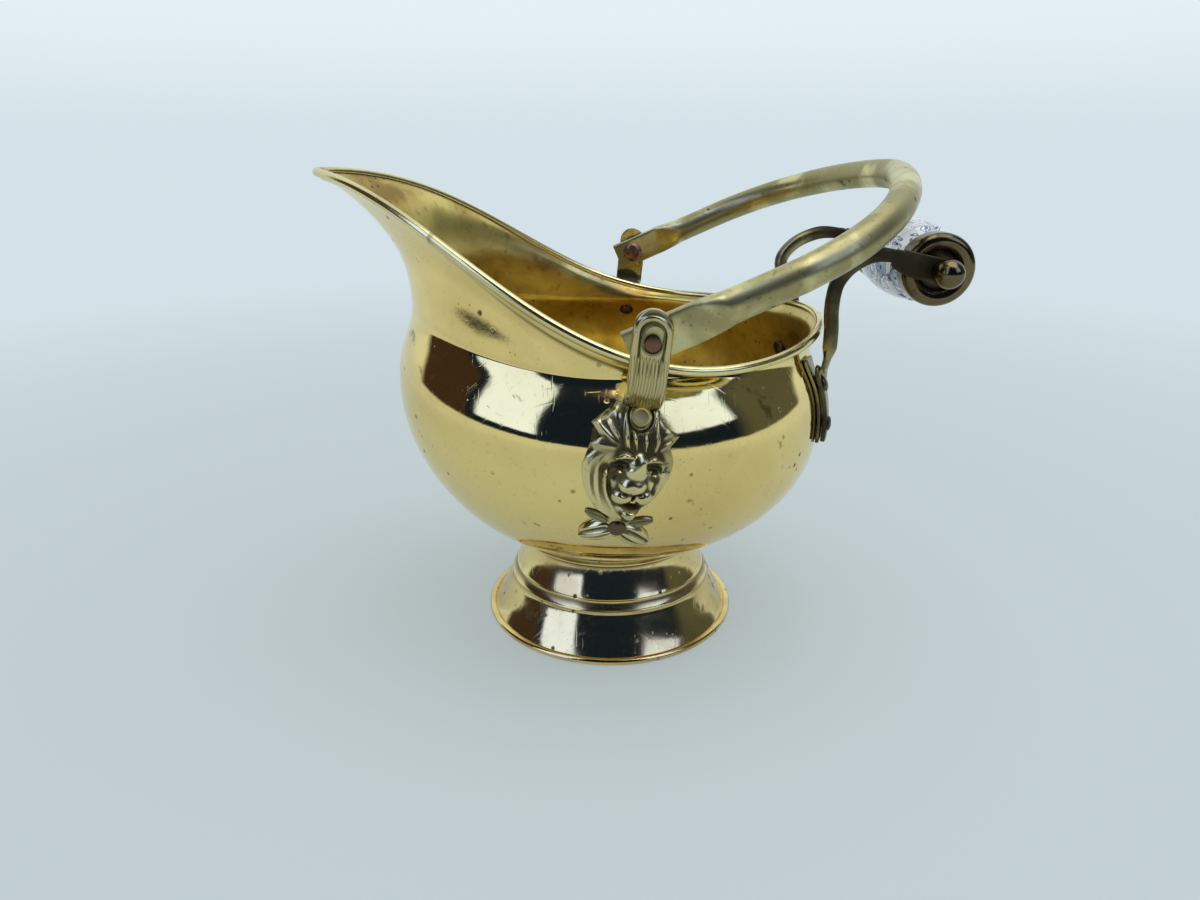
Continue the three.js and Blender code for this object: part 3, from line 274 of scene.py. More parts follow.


# %% [markdown]
# ## Old brass
# Every metal piece is brass that has been polished for a century. The bright metal is pale
# gold. Tarnish gathers in soft patches, small pits go dark, and fine scratches run all ways.
# One recipe with a few amounts gives the bowl, the duller bail and the dark castings. Where a
# piece keeps how hollow each place is, the tarnish is deepest there; on the bowl and the ears
# that share also carries painted shade at joints and recesses.

# %% Brass recipe
def brass(name, bright, dull, tarnish, rough, pits, waves, stained=0.5, hollow=None):
    """Two colours, amounts from 0 to 1, the least and most roughness, and an attribute."""
    material, bench, spot = new_finish(name)

    def cloud(scale, detail, distortion=0.0):
        return bench.cloud(spot, scale, detail, Distortion=distortion)

    def scored(turned_by, stretch):
        """Noise drawn out into fine lines that all run one way."""
        line = bench.node("Mapping", {"vector_type": "POINT"}, Vector=spot, Rotation=turned_by,
                          Scale=stretch)
        return bench.cloud(line, 1.0)

    broad = cloud(9, 4, 0.6)
    patch = cloud(38, 5, 0.4).above(0.62 - 0.3 * tarnish, 0.86 - 0.3 * tarnish)
    fleck = cloud(420, 2).above(0.6, 0.75)

    # Pits, large and small, lie in scattered groups
    pit = (1 - bench.cells(spot, 95).above(0.07, 0.17)) * cloud(26, 2).above(0.5, 0.58) * pits
    small = 1 - bench.cells(spot, 300).above(0.08, 0.2)
    pit = (pit + small * cloud(45, 2).above(0.6, 0.7) * pits * 0.6).held()
    scratch = scored((0.5, 0.2, 0.7), (60, 900, 60)).above(0.62, 0.72)
    scratch = scratch + scored((0.1, 1.1, -0.6), (900, 50, 70)).above(0.64, 0.74)

    # Each layer darkens the colour below it and makes the metal rougher
    dark = tuple(0.28 * c for c in dull)
    colour = bench.mix(broad.above(0.35, 0.7) * 0.5, bright, dull)
    colour = bench.mix(patch * tarnish, colour, dull)
    colour = bench.mix(fleck * tarnish * 0.5, colour, dark)
    colour = bench.mix(pit, colour, tuple(0.12 * c for c in dull))
    gloss = broad * (rough[1] - rough[0]) + rough[0] + patch * 0.12 * tarnish + pit * 0.4
    gloss = gloss + scratch * 0.06
    stain = cloud(30, 6, 1.2).above(0.66, 0.7) * cloud(170, 3).above(0.42, 0.6)
    colour = bench.mix(stain * stained, colour, dark)
    gloss = gloss + stain * 0.2 * stained
    if hollow:
        # The hollow attribute darkens the colour: tarnish in hollows, and painted shade where a
        # piece keeps it
        deep = bench.node("Attribute", {"attribute_name": hollow}, out="Fac")
        colour = bench.mix(deep * 0.9, colour, tuple(0.16 * c for c in dull))
        gloss = gloss + deep * 0.25
    height = cloud(22, 2) * waves + scratch * -0.012 - pit * 0.12 + cloud(260, 2) * 0.02
    dent = bench.node("Bump", Strength=1.0, Distance=0.0009, Height=height)
    shader = bench.node("BsdfPrincipled", Base_Color=colour, Metallic=(1 - pit * 0.6).held(),
                        Roughness=gloss.held(), Normal=dent)
    bench.node("OutputMaterial", Surface=shader)
    return material


PALE_GOLD, OLD_GOLD = (0.88, 0.69, 0.27), (0.62, 0.43, 0.14)
polished = brass("polished_brass", PALE_GOLD, OLD_GOLD, 0.3, (0.03, 0.1), 1.0, 0.3, 0.7, "hollow")
spun = brass("foot_brass", (0.85, 0.68, 0.3), (0.5, 0.33, 0.13),
             0.55, (0.05, 0.14), 1.0, 0.35, 0.9, "hollow")
moulded = brass("moulding_brass", (0.84, 0.71, 0.33), (0.45, 0.36, 0.15),
                0.4, (0.1, 0.24), 0.5, 0.15, 0.5, "hollow")
dulled = brass("bail_brass", (0.78, 0.7, 0.34), (0.36, 0.31, 0.14),
               1.0, (0.2, 0.36), 1.0, 0.35, 1.0)
aged = brass("arm_brass", (0.42, 0.36, 0.17), (0.1, 0.075, 0.04),
             0.9, (0.18, 0.34), 0.7, 0.3, 0.6, "hollow")
bronze = brass("handle_bronze", (0.18, 0.135, 0.065), (0.06, 0.04, 0.022),
               0.6, (0.1, 0.22), 0.5, 0.2, 0.5, "hollow")
cast = brass("cast_brass", (0.76, 0.66, 0.32), (0.3, 0.24, 0.1),
             0.6, (0.12, 0.26), 0.5, 0.3, 0.4, "hollow")
disc_brass = brass("disc_brass", (0.9, 0.74, 0.3), (0.6, 0.45, 0.15), 0.3, (0.4, 0.5), 0.4, 0.2)
ring_brass = brass("ring_brass", (0.5, 0.38, 0.15), (0.2, 0.14, 0.06), 0.7, (0.2, 0.36), 0.6, 0.2)
dark_rivet = brass("rivet_brass", (0.16, 0.1, 0.06), (0.05, 0.03, 0.022),
                   0.8, (0.2, 0.36), 0.4, 0.2)
copper = brass("rivet_copper", (0.3, 0.15, 0.1), (0.1, 0.05, 0.035), 0.7, (0.28, 0.45), 0.5, 0.2)
print("brasses made", len(bpy.data.materials))


# %% [markdown]
# The inside of the bowl was never polished so hard. It is a warm golden colour with brown
# stains where the coal lay, and shallow hammer marks all over.

# %% Inside finish
inside, bench, spot = new_finish("golden_inside")
stain = bench.cloud(spot, 16, 6, Roughness=0.6, Distortion=0.8)
grain = bench.cloud(spot, 150, 4)
speck = (1 - bench.cells(spot, 170).above(0.08, 0.22)) * bench.cloud(spot, 50).above(0.55, 0.65)
dimple = bench.cells(spot, 48, "SMOOTH_F1")
colour = bench.mix(stain.above(0.38, 0.66), (0.76, 0.61, 0.2), (0.5, 0.35, 0.1))
colour = bench.mix(stain.above(0.56, 0.68) * 0.75, colour, (0.22, 0.13, 0.035))
colour = bench.mix(grain.above(0.56, 0.75) * 0.5, colour, (0.3, 0.15, 0.03))
colour = bench.mix(speck * 0.8, colour, (0.08, 0.045, 0.02))
height = dimple * 0.55 + grain * 0.06 + stain * 0.4
dent = bench.node("Bump", Strength=0.8, Distance=0.0012, Height=height)
shader = bench.node("BsdfPrincipled", Base_Color=colour, Metallic=1.0,
                    Roughness=(stain * 0.25 + 0.2 + speck * 0.2).held(), Normal=dent)
bench.node("OutputMaterial", Surface=shader)
print("inside finish made")


# %% [markdown]
# ## The wall of the bowl
# The bowl was raised from sheet, so its surface is one smooth skin. It could be pushed out of
# a sphere by eye, but everything else is riveted to it, so it gets a formula that the other
# pieces can ask. Seen from above, the rim is an oval at the back that runs forward into a
# rounded spout. Seen from the side, it rises a little at the back and climbs to the spout.

# %% Rim
def bezier(a, b, c, d, t):
    u = 1 - t
    return u**3 * a + 3 * u * u * t * b + 3 * u * t * t * c + t**3 * d


FINE = np.linspace(0, 1, 801)
GAP, SHEET = 0.3, 1.2
RIM_CENTRE, RIM_BACK, RIM_RADIUS = 12.1, 109.0, 112.7
RIM_LOW, RIM_BACK_RISE, RIM_LOW_X, RIM_CLIMB = 185.6, 8.0, 57.4, 97.4
SPOUT_REACH, SPOUT_HEIGHT, SPOUT_LEVEL, SPOUT_SIDE, SPOUT_BLUNT = 165.5, 272.8, 78.7, 89.2, 20.3
plan_x = bezier(RIM_CENTRE, RIM_CENTRE - SPOUT_SIDE, -SPOUT_REACH, -SPOUT_REACH, FINE)
plan_y = bezier(RIM_RADIUS, RIM_RADIUS, SPOUT_BLUNT, 0, FINE)
climb_x = bezier(RIM_LOW_X, RIM_LOW_X - RIM_CLIMB, SPOUT_LEVEL - SPOUT_REACH, -SPOUT_REACH, FINE)
climb_z = bezier(RIM_LOW, RIM_LOW, SPOUT_HEIGHT - 0.05 * SPOUT_LEVEL, SPOUT_HEIGHT, FINE)


def rim_height(x):
    back = RIM_CENTRE + RIM_BACK - RIM_LOW_X
    behind = RIM_LOW + RIM_BACK_RISE * (np.maximum(0, x - RIM_LOW_X) / back) ** 2
    return np.where(x >= RIM_LOW_X, behind, np.interp(-x, -climb_x, climb_z))


def rim(phi):
    angle = np.abs(np.arctan2(np.sin(phi), np.cos(phi)))
    a = (np.cos(angle) / RIM_BACK) ** 2 + (np.sin(angle) / RIM_RADIUS) ** 2
    b = RIM_CENTRE * np.cos(angle) / RIM_BACK**2
    c = (RIM_CENTRE / RIM_BACK) ** 2 - 1
    back = (b + np.sqrt(b * b - a * c)) / a
    t = np.interp(angle, np.arctan2(plan_y, plan_x), FINE)
    front = np.hypot(np.interp(t, FINE, plan_x), np.interp(t, FINE, plan_y))
    radius = np.where(angle <= math.atan2(RIM_RADIUS, RIM_CENTRE), back, front)
    return radius, rim_height(radius * np.cos(angle))


print("rim at the spout", [round(float(v), 1) for v in rim(np.array(math.pi))])


# %% [markdown]
# Every upright section of the bowl is a flat seat, a full belly, a hollow neck and a flared
# lip. Three curves joined end to end give it at any angle, and their handles change smoothly
# on the way round from the spout to the back.

# %% Sections of the wall
SEAT_RADIUS, SEAT_HEIGHT, SEAT_RISE, SEAT_CURVE = 57.0, 60.8, math.radians(12), 30.0
BELLY_RADIUS, BELLY_FRONT, BELLY_BACK, BELLY_CURVE = 125.5, 156.0, 137.0, 46.0


def around(phi, front, side, back):
    """A measure that changes smoothly from the spout over the sides to the back."""
    c = np.cos(phi)
    return side + (front - side) * np.maximum(0, -c) ** 2 + (back - side) * np.maximum(0, c) ** 2


def sections(phi):
    one = np.ones_like(phi)
    belly_z = BELLY_BACK + (BELLY_FRONT - BELLY_BACK) * (1 - np.cos(phi)) / 2
    neck_r, neck_z = around(phi, 115.6, 107.5, 117.0), around(phi, 205.0, 183.0, 182.0)
    rim_r, rim_z = rim(phi)
    flare, lean = around(phi, 34.0, 5.0, 6.0), np.radians(around(phi, 31.0, 55.0, 36.0))
    climb, hold = neck_z - belly_z, around(phi, 0.34, 0.12, 0.3)
    turn_r = (SEAT_RADIUS + SEAT_CURVE * math.cos(SEAT_RISE)) * one
    turn_z = (SEAT_HEIGHT + SEAT_CURVE * math.sin(SEAT_RISE)) * one
    seat, belly, neck, lip = ((SEAT_RADIUS * one, SEAT_HEIGHT * one), (BELLY_RADIUS * one, belly_z),
                              (neck_r, neck_z), (rim_r, rim_z))
    return (
        (seat, (turn_r, turn_z), (belly[0], belly_z - BELLY_CURVE), belly),
        (belly, (belly[0], belly_z + 0.6 * climb), (neck_r, neck_z - hold * climb), neck),
        (neck, (neck_r, neck_z + 0.34 * (rim_z - neck_z)),
         (rim_r - flare * np.cos(lean), rim_z - flare * np.sin(lean)), lip),
    )


def wall_rz(phi, s):
    """Radius and height of the outer face: s runs 0 seat, 1 belly, 2 neck, 3 rim."""
    phi, s = np.broadcast_arrays(np.asarray(phi, float), np.asarray(s, float))
    span = np.clip(np.floor(s), 0, 2)
    r, z = np.zeros(s.shape), np.zeros(s.shape)
    for k, curve in enumerate(sections(phi)):
        here = span == k
        r = np.where(here, bezier(*[p[0] for p in curve], s - k), r)
        z = np.where(here, bezier(*[p[1] for p in curve], s - k), z)
    return r, z


print("belly at the side", [round(float(v), 1) for v in wall_rz(math.pi / 2, 1)])


# %% [markdown]
# Everything that is riveted to the bowl follows its wall. A table of the wall's radius at
# every angle and height makes it quick to lay a point on the wall and to lift it off along
# the surface's own normal.

# %% Laying things on the wall
SPINS = np.linspace(0, TURN, 721)
LEVELS = np.linspace(SEAT_HEIGHT, 200, 560)
RUN = np.linspace(0, 3, 1201)
ROUNDS = 12  # steps that close in on an angle
RADII = np.stack([np.interp(LEVELS, *wall_rz(a, RUN)[::-1]) for a in SPINS])


def radius_at(phi, z):
    i = np.mod(phi, TURN) / TURN * (len(SPINS) - 1)
    j = np.clip((z - LEVELS[0]) / (LEVELS[1] - LEVELS[0]), 0, len(LEVELS) - 1.001)
    a, b = np.floor(i).astype(int), np.floor(j).astype(int)
    fi, fj = i - a, j - b
    low = RADII[a, b] * (1 - fi) + RADII[a + 1, b] * fi
    high = RADII[a, b + 1] * (1 - fi) + RADII[a + 1, b + 1] * fi
    return low * (1 - fj) + high * fj


def on_wall(phi, z, lift):
    """The point at that angle and height, lifted off the wall, and the wall's normal there.

    The normal comes from how the radius changes over a small step in height and in angle.
    """
    phi, z, lift = np.broadcast_arrays(*[np.asarray(v, float) for v in (phi, z, lift)])
    r = radius_at(phi, z)
    dz, dp = 0.8, 0.009
    rz = (radius_at(phi, z + dz) - radius_at(phi, z - dz)) / (2 * dz)
    rp = (radius_at(phi + dp, z) - radius_at(phi - dp, z)) / (2 * dp)
    out = np.stack([np.cos(phi), np.sin(phi), 0 * phi], -1)
    turn = np.stack([-np.sin(phi), np.cos(phi), 0 * phi], -1)
    normal = out - turn * (rp / r)[..., None] - np.array([0, 0, 1.0]) * rz[..., None]
    normal /= np.linalg.norm(normal, axis=-1, keepdims=True)
    point = np.stack([r * np.cos(phi), r * np.sin(phi), z], -1)
    return point + normal * lift[..., None], normal


def side_angle(x, z, side):
    """The angle at which the wall's side passes x at that height."""
    phi = side * math.pi / 2 + 0 * x
    for _ in range(ROUNDS):
        phi = side * np.arccos(np.clip(x / radius_at(phi, z), -1, 1))
    return phi


def back_angle(y, z):
    """The angle at which the wall's back passes y at that height."""
    phi = 0 * y + 0 * z
    for _ in range(ROUNDS):
        phi = np.arcsin(np.clip(y / radius_at(phi, z), -1, 1))
    return phi


print("wall radius at the back, 150 mm up:", radius_at(np.array(0.0), np.array(150.0)))


# %% [markdown]
# ## Two ways to make a skin
# A sheet or a bar of changing section starts as a grid whose two directions run along and
# round the piece. Its points are laid where the maker's measures say, the seam is merged and
# the open ends are filled. A turned piece starts as one point, extruded along its outline and
# spun round its axis.

# %% Skins and turned pieces
def choose(*pieces):
    """Selects these pieces alone, or none; the last one becomes active."""
    bpy.ops.object.select_all(action="DESELECT")
    for piece in pieces:
        piece.select_set(True)
        bpy.context.view_layer.objects.active = piece


def finish_mesh(piece, fill, angle):
    bpy.ops.object.mode_set(mode="EDIT")
    bpy.ops.mesh.select_all(action="SELECT")
    bpy.ops.mesh.remove_doubles(threshold=2e-6)
    if fill:
        bpy.ops.mesh.fill_holes(sides=0)
    bpy.ops.mesh.normals_make_consistent(inside=False)
    bpy.ops.object.mode_set(mode="OBJECT")
    bpy.ops.object.shade_smooth_by_angle(angle=math.radians(angle))
    return piece


def vectors(piece, what="co"):
    """One vector for each vertex of a piece, in rows."""
    flat = np.empty(len(piece.data.vertices) * 3)
    piece.data.vertices.foreach_get(what, flat)
    return flat.reshape(-1, 3)


def skin(name, rows, columns, place, fill=True, angle=35):
    """place(along, around) gives millimetres for shares of the way along and round."""
    choose()
    bpy.ops.mesh.primitive_grid_add(x_subdivisions=columns, y_subdivisions=rows, size=2)
    piece = bpy.context.object
    piece.name = piece.data.name = name
    share = (vectors(piece) + 1) / 2
    points = place(share[:, 1], share[:, 0])
    piece.data.vertices.foreach_set("co", to_frame(points).ravel())
    piece.data.update()
    return finish_mesh(piece, fill, angle)


def turned(name, outline, steps, angle=35):
    """An outline of (radius, height) pairs, spun round the Z axis; it stays at the origin."""
    choose()
    bpy.ops.mesh.primitive_plane_add(size=2 * MM)
    piece = bpy.context.object
    piece.name = piece.data.name = name
    bpy.ops.object.mode_set(mode="EDIT")
    bpy.ops.mesh.merge(type="CENTER")
    at = Vector((outline[0][0], 0, outline[0][1])) * MM
    bpy.ops.transform.translate(value=at)
    for radius, height in outline[1:]:
        to = Vector((radius, 0, height)) * MM
        bpy.ops.mesh.extrude_region_move(TRANSFORM_OT_translate={"value": to - at})
        at = to
    bpy.ops.mesh.select_all(action="SELECT")
    bpy.ops.mesh.spin(steps=steps, angle=TURN, center=(0, 0, 0), axis=(0, 0, 1))
    bpy.ops.object.mode_set(mode="OBJECT")
    return finish_mesh(piece, False, angle)


def arc(centre, radius, start, end, count):
    """Points of an arc in an outline; angles in degrees, 0 outwards and 90 upwards."""
    angles = np.radians(np.linspace(start, end, count))
    return [(centre[0] + radius * math.cos(a), centre[1] + radius * math.sin(a)) for a in angles]


print("a skin is one grid, a turned piece is one outline")


# %% [markdown]
# ## Standing pieces in their places
# A turned piece is made at the origin, stood where it belongs, and then has that place taken
# into its mesh. So every object ends at the origin, unturned and unscaled, as the model's own
# pieces do, and a pattern on Object coordinates stays where it is when a piece is exported.
# Each piece is then tied to a body of the model and stands for one of its nodes.

# %% Places and bodies
def settle(piece, matrix):
    """Moves a piece built at the origin to its place, and keeps the place in its mesh."""
    choose(piece)
    piece.matrix_world = matrix
    bpy.ops.object.transform_apply(location=True, rotation=True, scale=True)
    return piece


def frame_matrix(origin, z_way, x_way=(0, 0, 1)):
    """Stands the Z axis of a turned piece along a direction, at a place in millimetres."""
    z = Vector(z_way).normalized()
    x = Vector(x_way)
    x = (x - z * x.dot(z)).normalized()
    turn = Matrix((x, z.cross(x), z)).transposed().to_4x4()
    return Matrix.Translation(Vector(to_frame(origin))) @ turn


def place_in_scuttle(piece, material, body, node):
    if material:
        piece.data.materials.clear()
        piece.data.materials.append(material)
    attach(piece, body)
    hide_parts(node)
    print(piece.name, "faces", len(piece.data.polygons))
    return piece


print("the foot stands at", to_frame((0, 0, 0)))


# %% [markdown]
# ## Where tarnish stays
# Tarnish stays in the hollows, where the polishing cloth never reaches. How far a point lies
# below the average of its neighbours tells how hollow its place is. It could be painted by
# hand, but this follows the shape by itself, and as an attribute it stays with the mesh.

# %% Hollows
def in_mm(piece):
    """The vertices in millimetres from the foot's axis."""
    return (vectors(piece) - AXIS) / MM


def keep_hollow(piece, shares):
    kept = piece.data.attributes.new("hollow", "FLOAT", "POINT")
    kept.data.foreach_set("value", shares)


def cavity(piece, rounds, extra=0, low=0.0, high=0.3):
    """Hollow is a step from low to high, in millimetres of depth, and at least extra."""
    mesh = piece.data
    co = vectors(piece)
    edges = np.empty(len(mesh.edges) * 2, int)
    mesh.edges.foreach_get("vertices", edges)
    a, b = edges.reshape(-1, 2).T
    count = np.bincount(np.concatenate([a, b]), minlength=len(co))[:, None]
    mean = co.copy()
    for _ in range(rounds):
        total = np.zeros_like(co)
        np.add.at(total, a, mean[b])
        np.add.at(total, b, mean[a])
        mean = total / np.maximum(count, 1)
    depth = ((mean - co) * vectors(piece, "normal")).sum(1) / MM
    keep_hollow(piece, np.maximum(step(depth, low, high), extra))
    print(piece.name, "hollow share", round(float((depth > 0.03).mean()), 2))


print("hollow runs from", step(0.0, 0, 0.3), "to", step(0.3, 0, 0.3))


# %% [markdown]
# ## Bowl
# The bowl could be raised from a disc in the mesh as a smith does it, ring by ring. Here the
# grid is laid on the wall's formula at once, with its inner edge gathered at the middle of the
# bottom, and Solidify then gives the sheet its thickness inwards.

# %% Bowl
BEAD_LIP = 4.8
BOTTOM, EDGE = 0.1, 0.05  # shares of the grid's rows


def edge_start(phi):
    """Where the wall turns straight below the rim, so that the moulding can grip it."""
    r3, z3 = wall_rz(phi, 3.0)
    low, high = 2.0 + 0 * phi, 3.0 + 0 * phi
    for _ in range(26):
        middle = (low + high) / 2
        r, z = wall_rz(phi, middle)
        near = np.hypot(r - r3, z - z3) < BEAD_LIP + SHEET
        low, high = np.where(near, low, middle), np.where(near, middle, high)
    return low


def crowded(share):
    """Angles from the spout's tip round and back to it, closer together at the tip."""
    way = 2 * share - 1
    return math.pi + math.pi * np.sign(way) * np.abs(way) * (0.8 + 0.2 * np.abs(way))


def bowl_skin(along, around_share):
    """The bottom, the wall's curves, and the straight edge that the moulding grips."""
    phi = crowded(around_share)
    climb = (along - BOTTOM) / (1 - BOTTOM)
    s = np.clip(climb, 0, 1)
    stop = edge_start(phi)
    r, z = wall_rz(phi, np.where(s < 1 - EDGE, s / (1 - EDGE) * stop, 0))
    r0, z0 = wall_rz(phi, stop)
    r3, z3 = wall_rz(phi, 3.0)
    straight = np.clip((climb - (1 - EDGE)) / EDGE, 0, 1)
    last = climb >= 1 - EDGE
    r = np.where(last, blend_between(r0, r3, straight), r)
    z = np.where(last, blend_between(z0, z3, straight), z)
    r = np.where(along < BOTTOM, SEAT_RADIUS * along / BOTTOM, r)
    return np.stack([r * np.cos(phi), r * np.sin(phi), z], -1)


bowl = skin("bowl_skin", 120, 320, bowl_skin, fill=False)
side_face = max(bowl.data.polygons, key=lambda face: face.center.y)
if side_face.normal.y < 0:
    bpy.ops.object.mode_set(mode="EDIT")
    bpy.ops.mesh.select_all(action="SELECT")
    bpy.ops.mesh.flip_normals()
    bpy.ops.object.mode_set(mode="OBJECT")
x, y, z = in_mm(bowl).T
phi = np.arctan2(y, x)
edge_r, edge_z = wall_rz(phi, edge_start(phi))
# Painted shade: a thin dark line along the moulding's lower edge and a dark band where the bowl
# meets the foot, kept in the hollow attribute
shade_under_rim = 1 - step(np.hypot(np.hypot(x, y) - edge_r, z - edge_z), 0.7, 3.4)
shade_round_seat = 0.7 * (1 - step(np.abs(np.hypot(x, y) - SEAT_RADIUS - 3), 1.5, 5)) * (z < 70)
keep_hollow(bowl, np.maximum(shade_under_rim, shade_round_seat) * 0.9)
thick = bowl.modifiers.new("sheet", "SOLIDIFY")
thick.thickness, thick.offset = SHEET * MM, -1
thick.material_offset = 1
bowl.data.materials.append(polished)
bowl.data.materials.append(inside)
bpy.ops.object.modifier_apply(modifier="sheet")
place_in_scuttle(bowl, None, "scuttle", "bowl")


# %% [markdown]
# The edge of thin sheet is sharp and weak, so a rolled moulding is pressed over it: a half
# round bead with a flat lip that reaches down the outside. It is one section carried round
# the rim, open at its butt joint near the back.

# %% Rim moulding
BEAD_RADIUS, LIP_SHEET, SEAM, SEAM_ANGLE = 2.42, 1.1, 1.2, math.radians(24)
SLOT = SHEET / 2 + GAP + 0.1
drop = -math.sqrt(BEAD_RADIUS**2 - SLOT**2)
lip = SLOT + LIP_SHEET
lip_drop = -math.sqrt(BEAD_RADIUS**2 - lip**2)
lip_end = [(lip - 0.5, -BEAD_LIP), (lip - 0.12, -BEAD_LIP + 0.18), (lip, -BEAD_LIP + 0.6)]
start_angle = math.degrees(math.atan2(lip_drop, lip))
stop_angle = 180 + math.degrees(math.atan2(-drop, SLOT))
section = [(lip, lip_drop - 0.9), (lip - 0.1, lip_drop - 0.25)]
section += arc((0, 0), BEAD_RADIUS, start_angle + 14, stop_angle, 26)
section += [(-SLOT, GAP), (SLOT, GAP), (SLOT, -BEAD_LIP)] + lip_end
section = np.array(section + section[:1])
seam_half = SEAM / 2 / (RIM_BACK + RIM_CENTRE)


def bead_skin(along, around_share):
    """The section stood square to the rim's run, its lip along the wall below."""
    phi = SEAM_ANGLE + seam_half + along * (TURN - 2 * seam_half)
    at = np.arange(len(section)) / (len(section) - 1)
    p = np.stack([np.interp(around_share, at, section[:, k]) for k in (0, 1)], -1)

    def rim_point(angle):
        r, z = rim(angle)
        return np.stack([r * np.cos(angle), r * np.sin(angle), z], -1)

    along_way = rim_point(phi + 0.01) - rim_point(phi - 0.01)
    along_way /= np.linalg.norm(along_way, axis=-1, keepdims=True)
    r, z = wall_rz(phi, edge_start(phi))
    below = np.stack([r * np.cos(phi), r * np.sin(phi), z], -1)
    rise = rim_point(phi) - below
    rise -= along_way * (rise * along_way).sum(-1, keepdims=True)
    rise /= np.linalg.norm(rise, axis=-1, keepdims=True)
    out = np.cross(along_way, rise)
    edge = rim_point(phi) - out * SHEET / 2
    return edge + out * p[:, :1] + rise * p[:, 1:]


bead = skin("rim_moulding", 420, len(section) - 1, bead_skin, angle=40)
cavity(bead, 3)
place_in_scuttle(bead, moulded, "scuttle", "rim_bead")


# %% [markdown]
# ## Foot
# The foot was spun from sheet over a wooden former: a waist, two ledges, a flaring skirt and
# a rolled bead to stand on. A half-round ring covers the joint to the bowl.

# %% Foot and ring
waist = [(float(bezier(52.4, 53.4, 56.2, 59.9, t)), float(bezier(52.4, 46.5, 40, 33.2, t)))
         for t in np.linspace(0, 1, 12)]
skirt = [(float(bezier(64.6, 67.8, 71.8, 76.2, t)), float(bezier(24.6, 18, 8.6, 3.4, t)))
         for t in np.linspace(0, 1, 14)]
outer = [(58.2, 56.4), (59, 55.7), (58.9, 54.9), (57.6, 54.2), (54.4, 53.9)] + waist
outer += arc((60.0, 32.0), 0.9, 80, -10, 5) + [(61.2, 30.6), (63.0, 28.0)]
outer += arc((63.2, 26.6), 0.9, 70, -20, 5) + skirt
inner = [(r - 1.2, z - 0.3) for r, z in outer[4:]]
bead_ring = arc((77.85, 2.15), 2.15, 150, -90, 18) + [(74, 0)]
outline = outer + bead_ring + inner[::-1] + [(53.2, 55.4), (54.4, 56.4), outer[0]]
foot = turned("foot_spinning", outline, 128, 30)
settle(foot, Matrix.Translation(Vector(AXIS)))
cavity(foot, 3)
place_in_scuttle(foot, spun, "scuttle", "foot")

low, high, edge, bore, rounding = 56.7, 60.5, 60.4, 55.8, 1.9
outline = [(bore, low)] + arc((edge - rounding, (low + high) / 2), rounding, -86, 86, 13)
outline += [(bore, high), (bore, low)]
foot_ring = turned("foot_ring_turning", outline, 128, 40)
settle(foot_ring, Matrix.Translation(Vector(AXIS)))
place_in_scuttle(foot_ring, ring_brass, "scuttle", "foot_ring")


# %% [markdown]
# ## Cast lion masks
# Each ear is one sand casting: a lion mask low on the belly, a ribbed strap that stands off
# the wall, and an eye for the bail's pivot. A sculptor would push clay about. Here the same is
# done with heights: soft domes for brow, snout and cheeks, and ridges along drawn lines for
# the locks of the mane, laid on the wall as a relief of its own thickness.

# %% Ear measures
EAR_X, EAR_Z, EAR_RAISE, EAR_LEAN = 2, 111, 7.5, math.radians(10.8)
EAR_WAY = np.array([math.sin(EAR_LEAN), 0, math.cos(EAR_LEAN)])
EAR_ACROSS = np.array([math.cos(EAR_LEAN), 0, -math.sin(EAR_LEAN)])

# Rivet to rivet, the strap's half width, where it leaves the wall, the plate's thickness, and
# the strap's lean to the spout for each millimetre up
RIVET_RISE, STRAP, STRAP_OFF, CAST, LEAN_BACK = 57, 9.2, 62, 2.4, 0.086

# The pivot's place, the eye's inner face, the pivot rivet's radius, and the slot's run above it
PIVOT_X, PIVOT_Z, EAR_FACE, SHANK, SLOT_RUN = 17, 206, 130, 3.8, 3.6
PIVOT_ALONG = (PIVOT_Z - EAR_Z) / math.cos(EAR_LEAN)
LOOP_MIDDLE = PIVOT_ALONG + 15 - STRAP
AXIS_TILT = math.atan2(EAR_RAISE, 2 * EAR_FACE)

# Way up from the lower rivet, and how far the ear reaches to the spout's and the handle's side
OUTLINE = np.array([
    (3, 5.6, 5.6), (6.5, 6.4, 6.2), (9.5, 12.6, 7.2), (13, 15.6, 8.8), (16.3, 18.2, 11.3),
    (21, 20.6, 15), (24.5, 21.8, 16.4), (28, 22.8, 17.6), (32, 23.3, 19), (36, 22.6, 19.5),
    (40, 19.5, 19.4), (42.5, 21.5, 18.4), (46.5, 17.5, 16.5), (51.5, 22.5, 20), (55, 17, 13.5),
    (58.5, 14, 9.5), (62, 12, 9.2), (62.6, 9.2, 9.2), (120, 9.2, 9.2)])


def ear_point(u, v, side):
    """A point of the ear's plane: u across towards the handle, v up from the lower rivet."""
    back = LEAN_BACK * np.maximum(0, v - RIVET_RISE)
    start = np.array([EAR_X, 0, EAR_Z + (EAR_RAISE if side > 0 else 0)])
    return start + (u - back)[..., None] * EAR_ACROSS + np.asarray(v)[..., None] * EAR_WAY


print("pivot", round(PIVOT_ALONG, 1), "mm up the ear, axis tilt", round(AXIS_TILT, 4))


# %% [markdown]
# The forms of the mask are a few kinds of hill: soft bumps, half eggs with a crisp foot, and
# ridges along drawn lines. Where two meet, the higher one shows, with a small fillet between,
# as where wax is pressed on wax.

# %% Hills and ridges
def leant(u, v, at, lean):
    """Distances from a hill's middle along its own two axes."""
    c, s = math.cos(math.radians(lean)), math.sin(math.radians(lean))
    du, dv = u - at[0], v - at[1]
    return du * c + dv * s, dv * c - du * s


def bump(u, v, at, wide, tall, height, lean):
    """A soft hill, or a hollow where its height is negative."""
    a, b = leant(u, v, at, lean)
    return height * np.exp(-((a / wide) ** 2) - (b / tall) ** 2)


